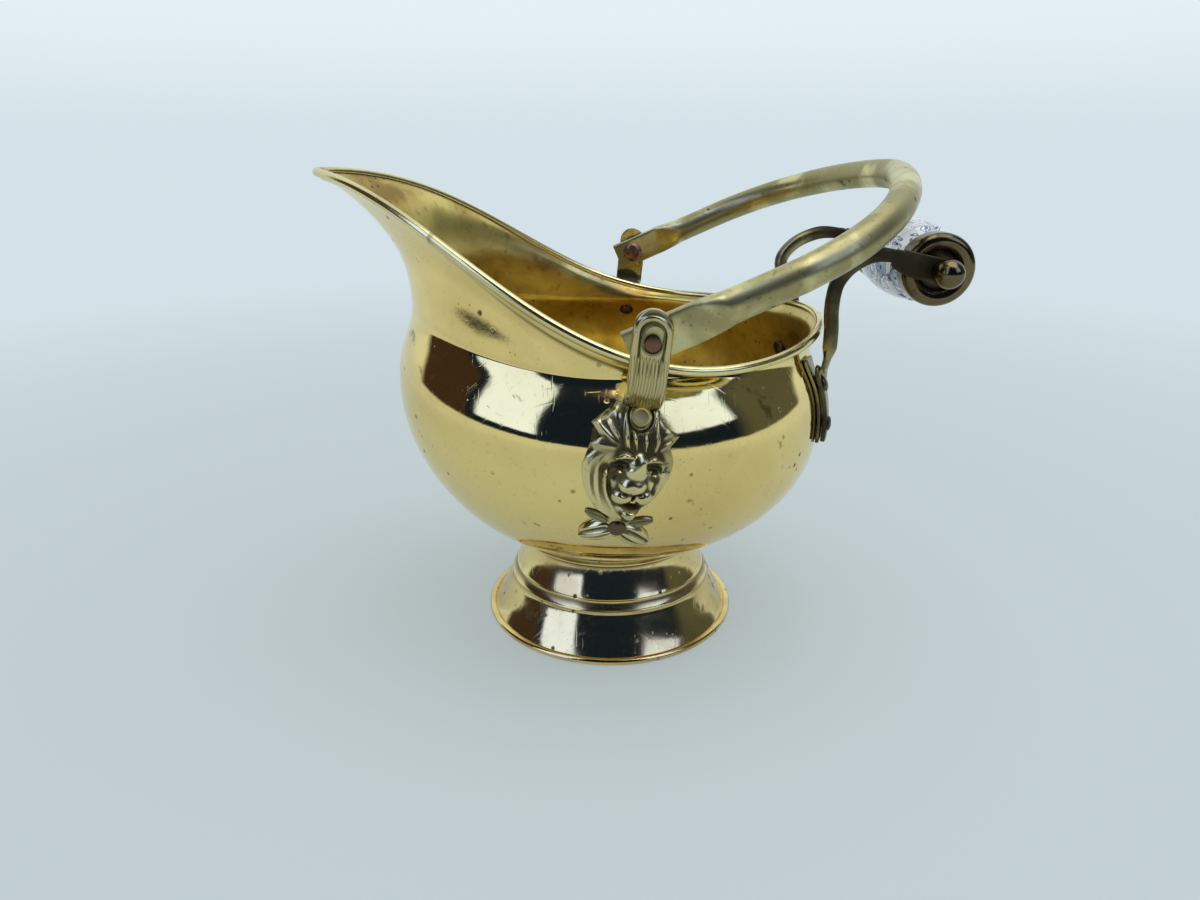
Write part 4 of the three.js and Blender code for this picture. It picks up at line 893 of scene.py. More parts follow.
def dome(u, v, at, wide, tall, height, lean):
    """Half an egg standing on the plate, with a crisp foot."""
    a, b = leant(u, v, at, lean)
    return height * np.sqrt(np.maximum(0, 1 - (a / wide) ** 2 - (b / tall) ** 2))


def over(below, added):
    """The higher of two reliefs, with a small fillet where they meet."""
    return (below + added + np.sqrt((below - added) ** 2 + 0.3)) / 2 - 0.16


def lock(u, v, path, width, height):
    """A ridge along a line of points, thinner and lower towards both ends."""
    path = np.array(path, float)
    t = np.linspace(0, 1, len(path))
    fine = np.linspace(0, 1, 4 * len(path))
    smooth = np.stack([catmull(t, path[:, k], fine) for k in (0, 1)], -1)
    best = np.full(u.shape, 1e9)
    share = np.zeros(u.shape)
    for i in range(len(fine) - 1):
        a, b = smooth[i], smooth[i + 1]
        ab = b - a
        k = np.clip(((u - a[0]) * ab[0] + (v - a[1]) * ab[1]) / (ab @ ab), 0, 1)
        d = np.hypot(u - a[0] - k * ab[0], v - a[1] - k * ab[1])
        share = np.where(d < best, (i + k) / (len(fine) - 1), share)
        best = np.minimum(d, best)
    taper = 0.45 + 0.55 * np.sin(np.pi * np.clip(share, 0.03, 0.97))
    return height * taper * np.maximum(0, 1 - (best / (width * taper)) ** 2)


def catmull(t, values, at):
    """A smooth curve through the values at the places t."""
    slope = np.gradient(values, t)
    i = np.clip(np.searchsorted(t, at, side="right") - 1, 0, len(t) - 2)
    h = t[i + 1] - t[i]
    s = (at - t[i]) / h
    a, b = values[i], values[i + 1]
    return ((2 * s**3 - 3 * s**2 + 1) * a + (s**3 - 2 * s**2 + s) * h * slope[i]
            + (3 * s**2 - 2 * s**3) * b + (s**3 - s**2) * h * slope[i + 1])


print("a fillet of", round(float(over(np.array(0.0), np.array(0.0))), 3), "mm where hills meet")


# %% [markdown]
# The relief is one height over the ear's own plane: u across, v up from the lower rivet.
# The mane's locks are drawn as lines, root to tip, as they fall on the mask. Skull, brows and
# face are put on in that order, so that each lies over the one before.

# %% Drawing of the mask
# A line of points, its width and its height
LOCKS = [
    ([(-15, 39), (-18.8, 35.5), (-20, 30), (-18.8, 23), (-16, 16.5), (-11.8, 10.5)], 2.3, 4.9),
    ([(-12, 40), (-15, 35.5), (-15.6, 29), (-14.2, 21.5), (-11, 14), (-6.5, 7)], 1.9, 4.7),
    ([(-9.8, 38), (-11.6, 33), (-11, 26.5), (-8.9, 19.5), (-5.6, 13.5), (-2, 9)], 1.9, 4.9),
    ([(15, 44), (17.8, 41), (18.8, 35.5), (17.8, 28), (14.8, 20), (11.2, 14.8)], 2.0, 4.0),
    ([(13.8, 39), (15.2, 33), (14.6, 26.1), (12.4, 19.7), (9.8, 14.5)], 1.7, 4.6),
    ([(-23.4, 54.6), (-20.5, 53), (-18.2, 50.4), (-14.5, 48), (-11.1, 46.1), (-7, 44.6)], 2.2, 3.9),
    ([(-21.6, 42.3), (-18.5, 43.4), (-15.4, 43), (-11.1, 43), (-7.5, 42.4)], 2.3, 3.3),
    ([(-16.6, 57.6), (-13.8, 58.8), (-11.5, 57.4), (-10.3, 54.6), (-8.2, 51.6)], 2.6, 3.3),
    ([(-15.6, 54), (-13, 52), (-10.4, 49), (-8, 46.4)], 1.7, 4.0),
    ([(20.3, 53.4), (17.8, 53.6), (14.5, 52.6), (12, 50), (10.8, 47)], 2.5, 3.5),
    ([(19, 49.4), (16, 48), (12.8, 46), (11, 43.6)], 1.9, 3.5),
    ([(-6.8, 57), (-5.4, 50.5), (-4.2, 46), (-2.6, 42.6)], 2.1, 4.9),
    ([(-2.6, 52), (-0.9, 47.8), (0.6, 43.4)], 1.9, 5.0),
    ([(3, 52), (4.1, 48), (4.9, 43.4)], 1.9, 5.0),
    ([(7.9, 57), (8.7, 51.5), (9.6, 47.5), (9, 43)], 2.1, 4.9),
    ([(-5, 11), (-1, 8), (4, 6.6), (8.5, 9.5)], 1.8, 1.9),
]
BROWS = [
    ([(-8, 38.4), (-3.4, 40.6), (1.4, 39.6)], 2.4, 6.1),
    ([(4.8, 38.2), (8.6, 40.6), (13.6, 39.6)], 2.4, 6.1),
]
# Middle, half width, half height, rise and lean in degrees: muzzle, chin, eyes, nose, lip, cheek
SKULL = [((3.2, 26), 11.2, 17.5, 4.0, 0), ((2.5, 33.5), 5.8, 9.5, 5.9, 0)]
FACE = [((-1.8, 20.3), 5.6, 4.4, 5.4, 10), ((8.3, 21.2), 5.2, 4.4, 5.3, 0),
        ((4.0, 10.2), 4.2, 3.4, 4.2, 0), ((-5.4, 33.2), 1.9, 1.2, 4.6, 0),
        ((10.7, 33.6), 1.9, 1.2, 4.6, 0), ((1.9, 26.8), 7.0, 5.2, 5.9, 3),
        ((3.5, 12.7), 4.6, 1.3, 5.0, 3), ((-11.6, 31.4), 1.6, 2.2, 5.2, 0)]

# Soft nose tips, then the hollows round the eyes, nostrils, mouth and cheeks
HOLLOWS = [((-1.6, 25.4), 2.3, 2.3, 0.55, 0), ((5.4, 26), 2.4, 2.4, 0.65, 0),
           ((-5.4, 35.5), 3.8, 1.3, -2.2, 6), ((10.6, 36.1), 3.6, 1.3, -2.2, -6),
           ((-6.4, 30.2), 2.4, 2.0, -1.3, 30), ((11.4, 30.8), 2.2, 1.8, -1.2, -30),
           ((-0.9, 22.7), 1.5, 0.9, -1.6, 12), ((5.8, 23.5), 1.5, 0.9, -1.6, 0),
           ((1.9, 24.6), 0.7, 2.0, -0.5, -8), ((3.4, 20.4), 0.6, 2.4, -1.8, -8),
           ((3.3, 15.6), 4.6, 1.2, -4.2, 4), ((-8.9, 24), 0.9, 5, -1.2, 14),
           ((12, 26), 0.7, 4.5, -1.0, -8)]
print("locks", len(LOCKS), "forms", len(SKULL + FACE), "hollows", len(HOLLOWS))


# %% [markdown]
# All heights are then summed over the plate, with the strap's ribs above and a flat round the
# upper rivet. A casting has a least and a most thickness, so the sum is kept between them.

# %% Relief of the mask
def with_ridges(height, u, v, ridges):
    for path, width, rise in ridges:
        height = over(height, CAST + lock(u, v, path, width, rise))
    return height


def with_domes(height, u, v, domes):
    for form in domes:
        height = over(height, CAST + dome(u, v, *form))
    return height


def relief(u, v):
    """Height of the casting's front above its back."""
    # The plate swells towards its middle, and the strap has ribs
    near = 1 - ((u + 1.2) / 25) ** 2 - ((v - 30) / 28) ** 2
    height = CAST + 1.1 * np.maximum(0, near)
    on_strap = step(v, 42.5, 45.5) * (np.abs(u) <= STRAP + 0.2)
    rib = 0.5 * np.cos(np.abs(u) * 1.75) ** 2 + 0.8 * step(np.abs(u), 6.0, 7.4)
    height = blend_between(height, CAST + rib, on_strap)
    height = with_domes(with_ridges(height, u, v, LOCKS), u, v, SKULL)
    height = with_domes(with_ridges(height, u, v, BROWS), u, v, FACE)
    for form in HOLLOWS:
        height = height + bump(u, v, *form)

    # A curled lock on the handle's side, and a flat with a groove round the upper rivet
    curl = np.hypot(u - 16.8, v - 36.4)
    height = height + 0.5 * np.cos(curl * 2.6) * np.exp(-((curl / 2.6) ** 2))
    ring = np.hypot(u, v - RIVET_RISE)
    flat = 1 - step(ring, 5.6, 6.4)
    height = blend_between(height, CAST, flat)
    height = height - 0.8 * np.exp(-(((ring - 5.8) / 0.6) ** 2))
    foot = 1 - step(v, 3.4, 9)
    return np.clip(blend_between(height, CAST, foot), 0.9, 8.6)


sample = relief(np.array([0.0, 3.0, 1.5]), np.array([40.0, 16.0, 31.0]))
print("relief at brow, mouth and nose", sample)


# %% [markdown]
# The casting is laid as one tube, from the plate under the lower rivet to the top of the eye.
# First come its outline, row by row, and the line on which the strap leaves the wall and rises
# to the eye's flat face.

# %% Outline and strap of the ear
FOOT_PLATE, WALL_TOP = 6.4, 190
below = -FOOT_PLATE * np.cos(np.radians(np.linspace(4, 90, 14)))
top = LOOP_MIDDLE + STRAP * np.sin(np.radians(np.linspace(0, 89, 26)))
on_mask, on_strap = np.arange(0.35, 62.2, 0.35), np.arange(62.6, LOOP_MIDDLE - 0.3, 0.7)
EAR_ROWS = np.concatenate([below, on_mask, on_strap, top])


def reach(v, way):
    """Half width at v, towards the spout where way is negative."""
    half = np.interp(v, OUTLINE[:, 0], OUTLINE[:, 1 if way < 0 else 2])
    plate = np.sqrt(np.maximum(0.01, FOOT_PLATE**2 - np.minimum(v, 3) ** 2))
    half = np.where(v < 3, plate, half)
    loop = np.sqrt(np.maximum(0.01, STRAP**2 - np.maximum(0, v - LOOP_MIDDLE) ** 2))
    return np.where(v > LOOP_MIDDLE, loop, half)


def loop_face(v, side):
    """Distance of the eye's inner face, which stands square to the tilted pivot."""
    return EAR_FACE - side * (v - PIVOT_ALONG) * math.tan(AXIS_TILT)


def strap_line(side):
    """The strap's inner face: way along and distance from the middle plane."""
    foot = PIVOT_ALONG - 15.5
    p = ear_point(np.zeros(1), np.array([float(STRAP_OFF)]), side)
    r = on_wall(side_angle(p[:, 0], p[:, 2], side), p[:, 2], 0 * p[:, 2])[0]
    leave = abs(float(r[0, 1])) + GAP
    t = np.linspace(0, 1, 60)
    v = bezier(STRAP_OFF, STRAP_OFF + 6, foot - 11, foot, t)
    out = bezier(leave, leave + 7, loop_face(foot - 11, side), loop_face(foot, side), t)
    return v, out, foot


print("rows up the ear", len(EAR_ROWS))


# %% [markdown]
# The front of each ring of the tube carries the relief. Its back follows the wall as far as
# the strap's root and the rising strap above it, and the two are blended over 3 mm.

# %% Skin of the ear
def front_and_back(around_share, front_part, back_part):
    """Whether a point is on the front, and its place from -1 to 1 across and back again."""
    front = around_share <= front_part
    ahead = around_share / front_part * 2 - 1
    behind = 1 - (around_share - front_part) / back_part * 2
    return front, np.where(front, ahead, behind)


def ear_skin(side):
    line_v, line_out, foot = strap_line(side)

    def place(along, around_share):
        v = np.interp(along, np.linspace(0, 1, len(EAR_ROWS)), EAR_ROWS)
        front, share = front_and_back(around_share, 0.86, 0.14)
        half = np.where(share < 0, reach(v, -1), reach(v, 1))
        u = share * half
        edge = np.clip(1 - np.abs(share) ** 7, 0, 1) ** 0.5
        height = relief(u, v)
        below_eye = 1 - step(v, PIVOT_ALONG - 9, PIVOT_ALONG - 6)
        rise = np.maximum(0, v - PIVOT_ALONG - SLOT_RUN)
        from_slot = np.where(v < PIVOT_ALONG - 6, np.abs(u), np.hypot(u, rise))
        border = 1.5 * step(from_slot, 5.3, 6.6) * (1 - 0.6 * step(from_slot, 7.9, 9.2))
        loop = CAST + border + 0.45 * below_eye * np.cos(np.abs(u) * 1.75) ** 2
        height = blend_between(height, loop, step(v, STRAP_OFF, STRAP_OFF + 8))
        lift = np.where(front, GAP + 0.4 + (height - 0.4) * edge, GAP)
        p = ear_point(u, v, side)
        phi = side_angle(p[:, 0], p[:, 2], side)
        wall_p, _ = on_wall(phi, np.minimum(p[:, 2], WALL_TOP), lift)
        base = ear_point(0 * v, v, side)
        phi = side_angle(base[:, 0], base[:, 2], side)
        out = np.abs(on_wall(phi, np.minimum(base[:, 2], WALL_TOP), GAP)[0][:, 1])
        curve = np.interp(v, line_v, line_out)
        slope = np.interp(v, line_v, np.arctan2(np.gradient(line_out), np.gradient(line_v)))
        out = np.where(v > STRAP_OFF, curve, out)
        tilt = -side * AXIS_TILT
        out = np.where(v > foot, loop_face(v, side), out)
        slope = np.where(v > foot, blend_between(slope, tilt, step(v, foot, foot + 3)), slope)
        normal = np.stack([0 * v, side * np.cos(slope), -np.sin(slope)], -1)
        free = p.copy()
        free[:, 1] = side * out
        free += normal * np.where(front, lift - GAP, 0)[:, None]
        return blend_between(wall_p, free, step(v, STRAP_OFF - 1, STRAP_OFF + 2)[:, None])

    return place


print("strap leaves the wall", STRAP_OFF, "mm up")


# %% [markdown]
# The slot in the eye is cut as a fitter cuts it, with a rounded bar as the tool. Two pairs of
# leaves spread from the lower rivet. They are thin skins on the wall, joined to the casting.

# %% Slot and leaves
def slot_cutter(side):
    """A rounded bar as wide as the slot, stretched along the eye."""
    choose()
    bpy.ops.mesh.primitive_cylinder_add(vertices=48, radius=(SHANK + 0.6) * MM, depth=0.03)
    cutter = bpy.context.object
    bpy.ops.object.mode_set(mode="EDIT")
    bpy.ops.mesh.select_all(action="DESELECT")
    bpy.ops.object.mode_set(mode="OBJECT")
    for vertex in cutter.data.vertices:
        vertex.select = vertex.co.x > 1e-5
    bpy.ops.object.mode_set(mode="EDIT")
    bpy.ops.transform.translate(value=(SLOT_RUN * MM, 0, 0))
    bpy.ops.object.mode_set(mode="OBJECT")
    at = (PIVOT_X, side * EAR_FACE, PIVOT_Z + (EAR_RAISE if side > 0 else 0))
    return settle(cutter, frame_matrix(at, (0, math.cos(AXIS_TILT), math.sin(AXIS_TILT)), EAR_WAY))


def leaf_skin(way, side, droop, length, width, height, start):
    """A leaf to the spout's side where way is -1, and to the handle's where it is 1."""
    angle = math.radians(droop)

    def place(along, around_share):
        front, share = front_and_back(around_share, 0.8, 0.2)
        reach_along = blend_between(start, length, along)
        half = width * np.sqrt(np.sin(np.pi * blend_between(0.14, 0.985, along)))
        u = way * (reach_along * math.cos(angle) + share * half * math.sin(angle))
        v = share * half * math.cos(angle) - reach_along * math.sin(angle)
        bulge = np.clip(1 - np.abs(share) ** 2.6, 0, 1) ** 0.5 * (0.7 + 0.3 * np.cos(share * 8))
        body = 0.15 + 0.85 * np.sin(np.pi * blend_between(0.2, 0.93, along)) ** 0.5
        lift = np.where(front, GAP + 0.3 * (bulge > 0) + height * bulge * body, GAP)
        lift = np.maximum(lift, GAP)
        p = ear_point(u, v, side)
        return on_wall(side_angle(p[:, 0], p[:, 2], side), p[:, 2], lift)[0]

    return place


# Droop in degrees, length, half width, height, and where the leaf starts
LEAVES = [(29, 20, 6.2, 4.4, 2), (-20, 18.2, 2.8, 1.3, 6)]
print("leaves on each ear", 2 * len(LEAVES))


# %% [markdown]
# Each ear is laid, slotted and darkened, and takes its leaves. Tarnish gathers in its hollows,
# painted shade darkens the recess round the slot, and the strap is darker in stripes along it.

# %% Two ears
def shade_and_tarnish_ear(ear, side):
    away = in_mm(ear) - ear_point(np.zeros(1), np.zeros(1), side)
    across, along = away @ EAR_ACROSS, away @ EAR_WAY
    across = across + LEAN_BACK * np.maximum(0, along - RIVET_RISE)
    past_slot = np.hypot(across, np.maximum(0, np.abs(along - PIVOT_ALONG - 2) - 2.5))
    # Painted shade in the recess round the slot
    slot_shade = 0.75 * (1 - step(past_slot, 4.8, 6.2)) * (along > 60)
    # Darker stripes along the strap
    ribbed = 0.5 * np.cos(across * 2.3 + 0.6 * np.sin(along * 0.3)) ** 6 * step(along, 60, 66)
    ribbed = ribbed * (1 - step(along, PIVOT_ALONG - 9, PIVOT_ALONG - 5))
    cavity(ear, 45, np.maximum(slot_shade, ribbed), -0.1, 0.24)


for hand, side in SIDES:
    ear = skin(f"{hand}_lion_ear", len(EAR_ROWS) - 1, 150, ear_skin(side), angle=50)
    cutter = slot_cutter(side)
    choose(ear)
    hole = ear.modifiers.new("slot", "BOOLEAN")
    hole.operation, hole.object, hole.solver = "DIFFERENCE", cutter, "EXACT"
    bpy.ops.object.modifier_apply(modifier="slot")
    bpy.data.objects.remove(cutter)
    shade_and_tarnish_ear(ear, side)
    leaves = []
    for measures in LEAVES:
        for way in (-1, 1):
            leaf = skin("leaf", 26, 30, leaf_skin(way, side, *measures), angle=50)
            cavity(leaf, 20, 0.6 * (measures[-1] > 4), -0.08, 0.24)
            leaves.append(leaf)
    choose(*leaves, ear)
    bpy.ops.object.join()
    place_in_scuttle(ear, cast, "scuttle", f"{hand}_ear")


# %% [markdown]
# ## Rivets
# A rivet is turned for each of its places: domed heads below and on the
# arms, flat heads above the masks, and a button inside the bowl that the smith hammered over.

# %% Rivets
DOME = np.linspace(0.2, 1.45, 8)
ARM_Y, ARM_FLAT, ARM_LIFT = 45.0, 1.3, 2 * GAP + 2 + 0.2


def rivet_outline(pile, head, inside_head, flat):
    """Heads are (radius, height); the pile is what the rivet holds on the wall."""
    radius, height = head
    in_radius, in_height = inside_head
    top, under = pile + GAP, -SHEET - GAP
    shape = [(0, under - in_height)]
    shape += [(in_radius * math.sin(a), under - in_height * math.cos(a)) for a in DOME]
    shape += [(in_radius, under), (2.2, under), (2.2, top), (radius, top)]
    if flat:
        return shape + [(radius, top + 0.6 * height), (radius - 0.4, top + 0.95 * height),
                        (0.78 * radius, top + height), (0.68 * radius, top + 0.72 * height),
                        (0.3 * radius, top + 0.66 * height), (0, top + 0.66 * height)]
    shape += [(radius * math.cos(a), top + height * math.sin(a)) for a in DOME]
    return shape + [(0, top + height)]


def seat_matrix(phi, z):
    point, normal = on_wall(np.array([phi]), np.array([z]), np.zeros(1))
    return frame_matrix(point[0], normal[0])


EAR_PILE, ARM_PILE = GAP + CAST, ARM_LIFT + 2 * ARM_FLAT
for hand, side in SIDES:
    for level, v, flat in (("lower", 0, False), ("upper", RIVET_RISE, True)):
        rivet = turned(f"{hand}_ear_{level}_rivet_turning",
                       rivet_outline(EAR_PILE, (4.9, 1.9), (4.8, 2.4), flat), 40)
        # The button inside the bowl stays dark where the head outside is a bright disc
        for face in rivet.data.polygons:
            face.material_index = int(flat and face.center.z < 0)
        p = ear_point(np.zeros(1), np.array([float(v)]), side)
        phi = float(side_angle(p[:, 0], p[:, 2], side)[0])
        settle(rivet, seat_matrix(phi, float(p[0, 2])))
        metals = (disc_brass, dark_rivet) if flat else (dark_rivet,)
        for metal in metals:
            rivet.data.materials.append(metal)
        place_in_scuttle(rivet, None, "scuttle", f"{hand}_ear_{level}_rivet")
    for level, z in (("lower", 140.0), ("upper", 161.5)):
        rivet = turned(f"{hand}_arm_{level}_rivet_turning",
                       rivet_outline(ARM_PILE, (4.2, 1.6), (5.8, 3.2), False), 40)
        phi = float(back_angle(np.array([side * ARM_Y]), np.array([z]))[0])
        settle(rivet, seat_matrix(phi, z))
        place_in_scuttle(rivet, dark_rivet, "scuttle", f"{hand}_arm_{level}_rivet")


# %% [markdown]
# ## Bail
# The bail is a brass tube bent to a hoop, with its ends hammered flat and square for the
# pivots. Rings of a rounded bar are carried along a smooth line: the higher the power of the
# ring's curve, the flatter its sides, so tube and flat are one skin.

# %% Bars of changing section
def bar_skin(stations):
    """Stations: place, way of the thickness, half thickness, half width, squareness."""
    t = np.linspace(0, 1, len(stations))
    places = np.array([s[0] for s in stations], float)
    ways = np.array([s[1] for s in stations], float)
    sizes = np.array([s[2:5] for s in stations], float)

    def place(along, around_share):
        at = np.stack([catmull(t, places[:, k], along) for k in range(3)], -1)
        after, before = np.clip(along + 1e-4, 0, 1), np.clip(along - 1e-4, 0, 1)
        ahead = np.stack([catmull(t, places[:, k], after) - catmull(t, places[:, k], before)
                          for k in range(3)], -1)
        ahead /= np.linalg.norm(ahead, axis=-1, keepdims=True)
        thick_way = np.stack([np.interp(along, t, ways[:, k]) for k in range(3)], -1)
        thick_way -= ahead * (thick_way * ahead).sum(-1, keepdims=True)
        thick_way /= np.linalg.norm(thick_way, axis=-1, keepdims=True)
        wide_way = np.cross(ahead, thick_way)
        thick, wide, square = [np.interp(along, t, sizes[:, k]) for k in range(3)]
        angle = around_share * TURN
        c, s = np.cos(angle), np.sin(angle)
        power = 2 / square
        a = np.sign(c) * np.abs(c) ** power * thick
        b = np.sign(s) * np.abs(s) ** power * wide
        return at + thick_way * a[:, None] + wide_way * b[:, None]

    return place


print("bars ready")


# %% [markdown]
# Half of the bail is drawn flat, from its square end over the crease to the middle of the
# hoop. The other half mirrors it, and the whole is leant back as it rests in the photograph.

# %% Line of the bail
BAIL_FLAT, BAIL_TUBE, TAIL, CREASE, LEG, HALF_WIDTH = (3, 9.2), 7.88, 11.5, 23, 60, 125
BAIL_REACH, BAIL_REST = 154, -23.8
FLAT_MIDDLE = EAR_FACE - GAP - BAIL_FLAT[0]
leant_back = Matrix.Rotation(math.radians(BAIL_REST), 4, "Y")
bail_turn = np.array((Matrix.Rotation(AXIS_TILT, 4, "X") @ leant_back).to_3x3())
PIVOT = np.array([PIVOT_X, 0, PIVOT_Z + EAR_RAISE / 2])


def bail_stations():
    half = []
    for x in [-TAIL, -9, -5, 0, 5, 10, 15, 19, 21, CREASE, 26, 30, 36, 44, 52]:
        spread = float(step(x, 0.6 * CREASE, LEG * 0.8))
        swell = float(step(x, CREASE - 4, CREASE + 16))
        half.append((x, blend_between(FLAT_MIDDLE, HALF_WIDTH, spread),
                     blend_between(BAIL_FLAT[0], BAIL_TUBE, swell),
                     blend_between(BAIL_FLAT[1], BAIL_TUBE, swell), blend_between(7, 2, swell)))
    for t in np.linspace(0, 1, 16):
        x = float(bezier(LEG, HALF_WIDTH, BAIL_REACH, BAIL_REACH, t))
        y = float(bezier(HALF_WIDTH, HALF_WIDTH, 36, 0, t))
        half.append((x, y, BAIL_TUBE, BAIL_TUBE, 2))
    other = [(x, -y, *rest) for x, y, *rest in half[:-1]]
    return half + other[::-1]


flat_stations = bail_stations()
along_xy = np.array([(x, y) for x, y, *_ in flat_stations])
tangent = np.gradient(along_xy, axis=0)
tangent /= np.linalg.norm(tangent, axis=1, keepdims=True)
stations = []
for (x, y, thick, wide, square), (tx, ty) in zip(flat_stations, tangent):
    stations.append((bail_turn @ (x, y, 0) + PIVOT, bail_turn @ (ty, -tx, 0), thick, wide, square))
bail = skin("bail_bar", 360, 48, bar_skin(stations), angle=40)
place_in_scuttle(bail, dulled, "bail", "bail")


# %% [markdown]
# Each flat end hangs on a rivet with a domed head on its inner side, whose shank turns in the
# eye's slot. It belongs to the bail, so it rides on the bail's body.

# %% Pivot rivets
head = EAR_FACE - 2 * GAP - 2 * BAIL_FLAT[0]
end = EAR_FACE + CAST + 1
dome_r, dome_h = 6.5, 3.2
shape = [(0, head - dome_h)]
shape += [(dome_r * math.sin(a), head - dome_h * math.cos(a)) for a in np.linspace(0.2, 1.5, 9)]
shape += [(dome_r, head), (SHANK, head), (SHANK, end - 0.8), (SHANK - 0.25, end - 0.3),
          (SHANK - 0.9, end), (0, end)]
for hand, side in SIDES:
    pin = turned(f"{hand}_pivot_rivet", shape, 40)
    way = bail_turn @ np.array([0, side, 0])
    settle(pin, frame_matrix(PIVOT, way))
    place_in_scuttle(pin, copper, "bail", f"{hand}_bail_rivet")


# %% [markdown]
# ## Rear handle
# Two arms rise from riveted tails on the back of the bowl, bend in and out round the rim and
# end in thin paddles. A rod through the paddles carries the porcelain grip between two brass
# cups, with a ball nut on each end.

# %% Line of the arms
GRIP_X, GRIP_Z, GRIP_HALF, CAP_DEPTH, ARM_ROD = 171.8, 226, 45.4, 6.6, 3.95
PADDLE_FLAT = 1.5  # half its thickness
CAP_TOP = GRIP_HALF + GAP + CAP_DEPTH
PADDLE_AT = CAP_TOP + GAP + PADDLE_FLAT
NUT_BASE = PADDLE_AT + PADDLE_FLAT + GAP


def arm_stations(side):
    """The tail on the wall, the rod over the rim, and the paddle that holds the grip."""
    stations = []
    for z in [131, 135, 140, 147, 154, 161.5, 166.4]:
        phi = back_angle(np.array([side * ARM_Y]), np.array([float(z)]))
        point, normal = on_wall(phi, np.array([float(z)]), np.array([ARM_LIFT + ARM_FLAT]))
        stations.append((point[0], normal[0], ARM_FLAT, 5.6, 6))
    outward = stations[-1][1]
    share = math.sqrt(1 - (ARM_Y / (RIM_RADIUS + BEAD_RADIUS)) ** 2)
    rod_x = RIM_CENTRE + RIM_BACK * share + BEAD_RADIUS + ARM_ROD + 2 * GAP
    lean = 8.5 if side > 0 else 0
    level = GRIP_Z + 8

    def free(x, y, z, thick, wide, square):
        turned_share = float(step(len(stations), 10, 15))
        flat = outward * (1 - turned_share) + np.array([0, side, 0]) * turned_share
        stations.append((np.array([x, side * y, z]), flat, thick, wide, square))

    def rod(x, z, turn, share):
        free(x - share * lean, blend_between(ARM_Y, PADDLE_AT, turn), z, ARM_ROD, ARM_ROD, 2)

    free(rod_x - 2, 45.3, RIM_LOW - 15, 1.6, 4.9, 4)
    free(rod_x - 0.5, 45.5, RIM_LOW - 8, 2.2, 4, 3)
    rod(rod_x, RIM_LOW - 2, 0.08, 0)
    rod(rod_x - 0.4, RIM_LOW + 8, 0.2, 0.1)
    rod(rod_x - 1.6, level - 31, 0.35, 0.5)
    rod(rod_x - 1.8, level - 22, 0.5, 0.9)
    rod(rod_x - 0.6, level - 14.6, 0.62, 1)
    rod(rod_x + 3.3, level - 8, 0.74, 0.85)
    rod(rod_x + 9, level - 3, 0.86, 0.6)
    rod(rod_x + 16.5, level + 0.4, 0.96, 0.2)
    free(GRIP_X - 26.5, PADDLE_AT, level, 2.2, 3.4, 3)
    free(GRIP_X - 22.5, PADDLE_AT, level - 2, PADDLE_FLAT, 5.6, 5)
    free(GRIP_X - 14, PADDLE_AT, level - 5, PADDLE_FLAT, 6.6, 6)
    free(GRIP_X, PADDLE_AT, GRIP_Z, PADDLE_FLAT, 6.6, 6)
    free(GRIP_X + 4.4, PADDLE_AT, GRIP_Z - 1.4, PADDLE_FLAT, 5, 6)
    free(GRIP_X + 6.8, PADDLE_AT, GRIP_Z - 2.2, PADDLE_FLAT, 2.6, 5)
    return stations


print("grip", 2 * GRIP_HALF, "mm long, paddles", round(2 * PADDLE_AT, 1), "mm apart")


# %% [markdown]
# Between each tail and the wall lies a flat strip, which is a square bar bent to the wall. The
# paddles are forged and never polished, so they are the darkest part of the arms.

# %% Arms and backing strips
def strip_skin(side):
    top = RIM_LOW - BEAD_LIP - 3.4

    def place(along, around_share):
        angle = around_share * TURN + math.pi / 4
        c, s = np.cos(angle), np.sin(angle)
        a = np.sign(c) * np.abs(c) ** 0.3
        b = np.sign(s) * np.abs(s) ** 0.3
        z = blend_between(130.0, top, along)
        y = side * ARM_Y + a * 6.4 * (1 - 0.12 * step(np.abs(along * 2 - 1), 0.96, 1))
        return on_wall(back_angle(y, z), z, GAP + 1.0 + b)[0]

    return place


for hand, side in SIDES:
    arm = skin(f"{hand}_arm_bar", 260, 32, bar_skin(arm_stations(side)), angle=40)
    cavity(arm, 2, 0.75 * step(np.abs(in_mm(arm)[:, 1]), PADDLE_AT - 6, PADDLE_AT - 1))
    place_in_scuttle(arm, aged, "scuttle", f"{hand}_handle_arm")
    strip = skin(f"{hand}_backing", 60, 32, strip_skin(side), angle=40)
    place_in_scuttle(strip, aged, "scuttle", f"{hand}_backing_strip")


# %% [markdown]
# The cups, ball nuts and the barrel are all turned, so each is an outline spun round the rod.

# %% Cups, nuts and barrel
HOLE, BALL = 3.3, 7.65
floor_at, rim_at, cap_r = GRIP_HALF + GAP, GRIP_HALF - 5.5, 19.2
cup = [(HOLE, floor_at), (17.5, floor_at), (17.5, rim_at), (cap_r - 0.3, rim_at),
       (cap_r, rim_at + 0.4), (cap_r, CAP_TOP - 4.6)]
cup += arc((cap_r - 4.2, CAP_TOP - 4.2), 4.2, 0, 100, 12)
cup += arc((cap_r - 6.2, CAP_TOP - 2.4), 2.0, 70, 180, 6)[1:]
cup += [(cap_r - 8.6, floor_at + 1.9), (cap_r - 9.4, floor_at + 1.4), (HOLE, floor_at + 1.4),
        (HOLE, floor_at)]
ball = NUT_BASE + BALL
nut = [(0, ball - 1), (HOLE, ball - 1), (HOLE, NUT_BASE), (6.1, NUT_BASE), (6.4, NUT_BASE + 0.3),
       (6.4, NUT_BASE + 1.2)] + arc((0, ball), BALL, -42, 90, 18)
nut[-1] = (0, nut[-1][1])
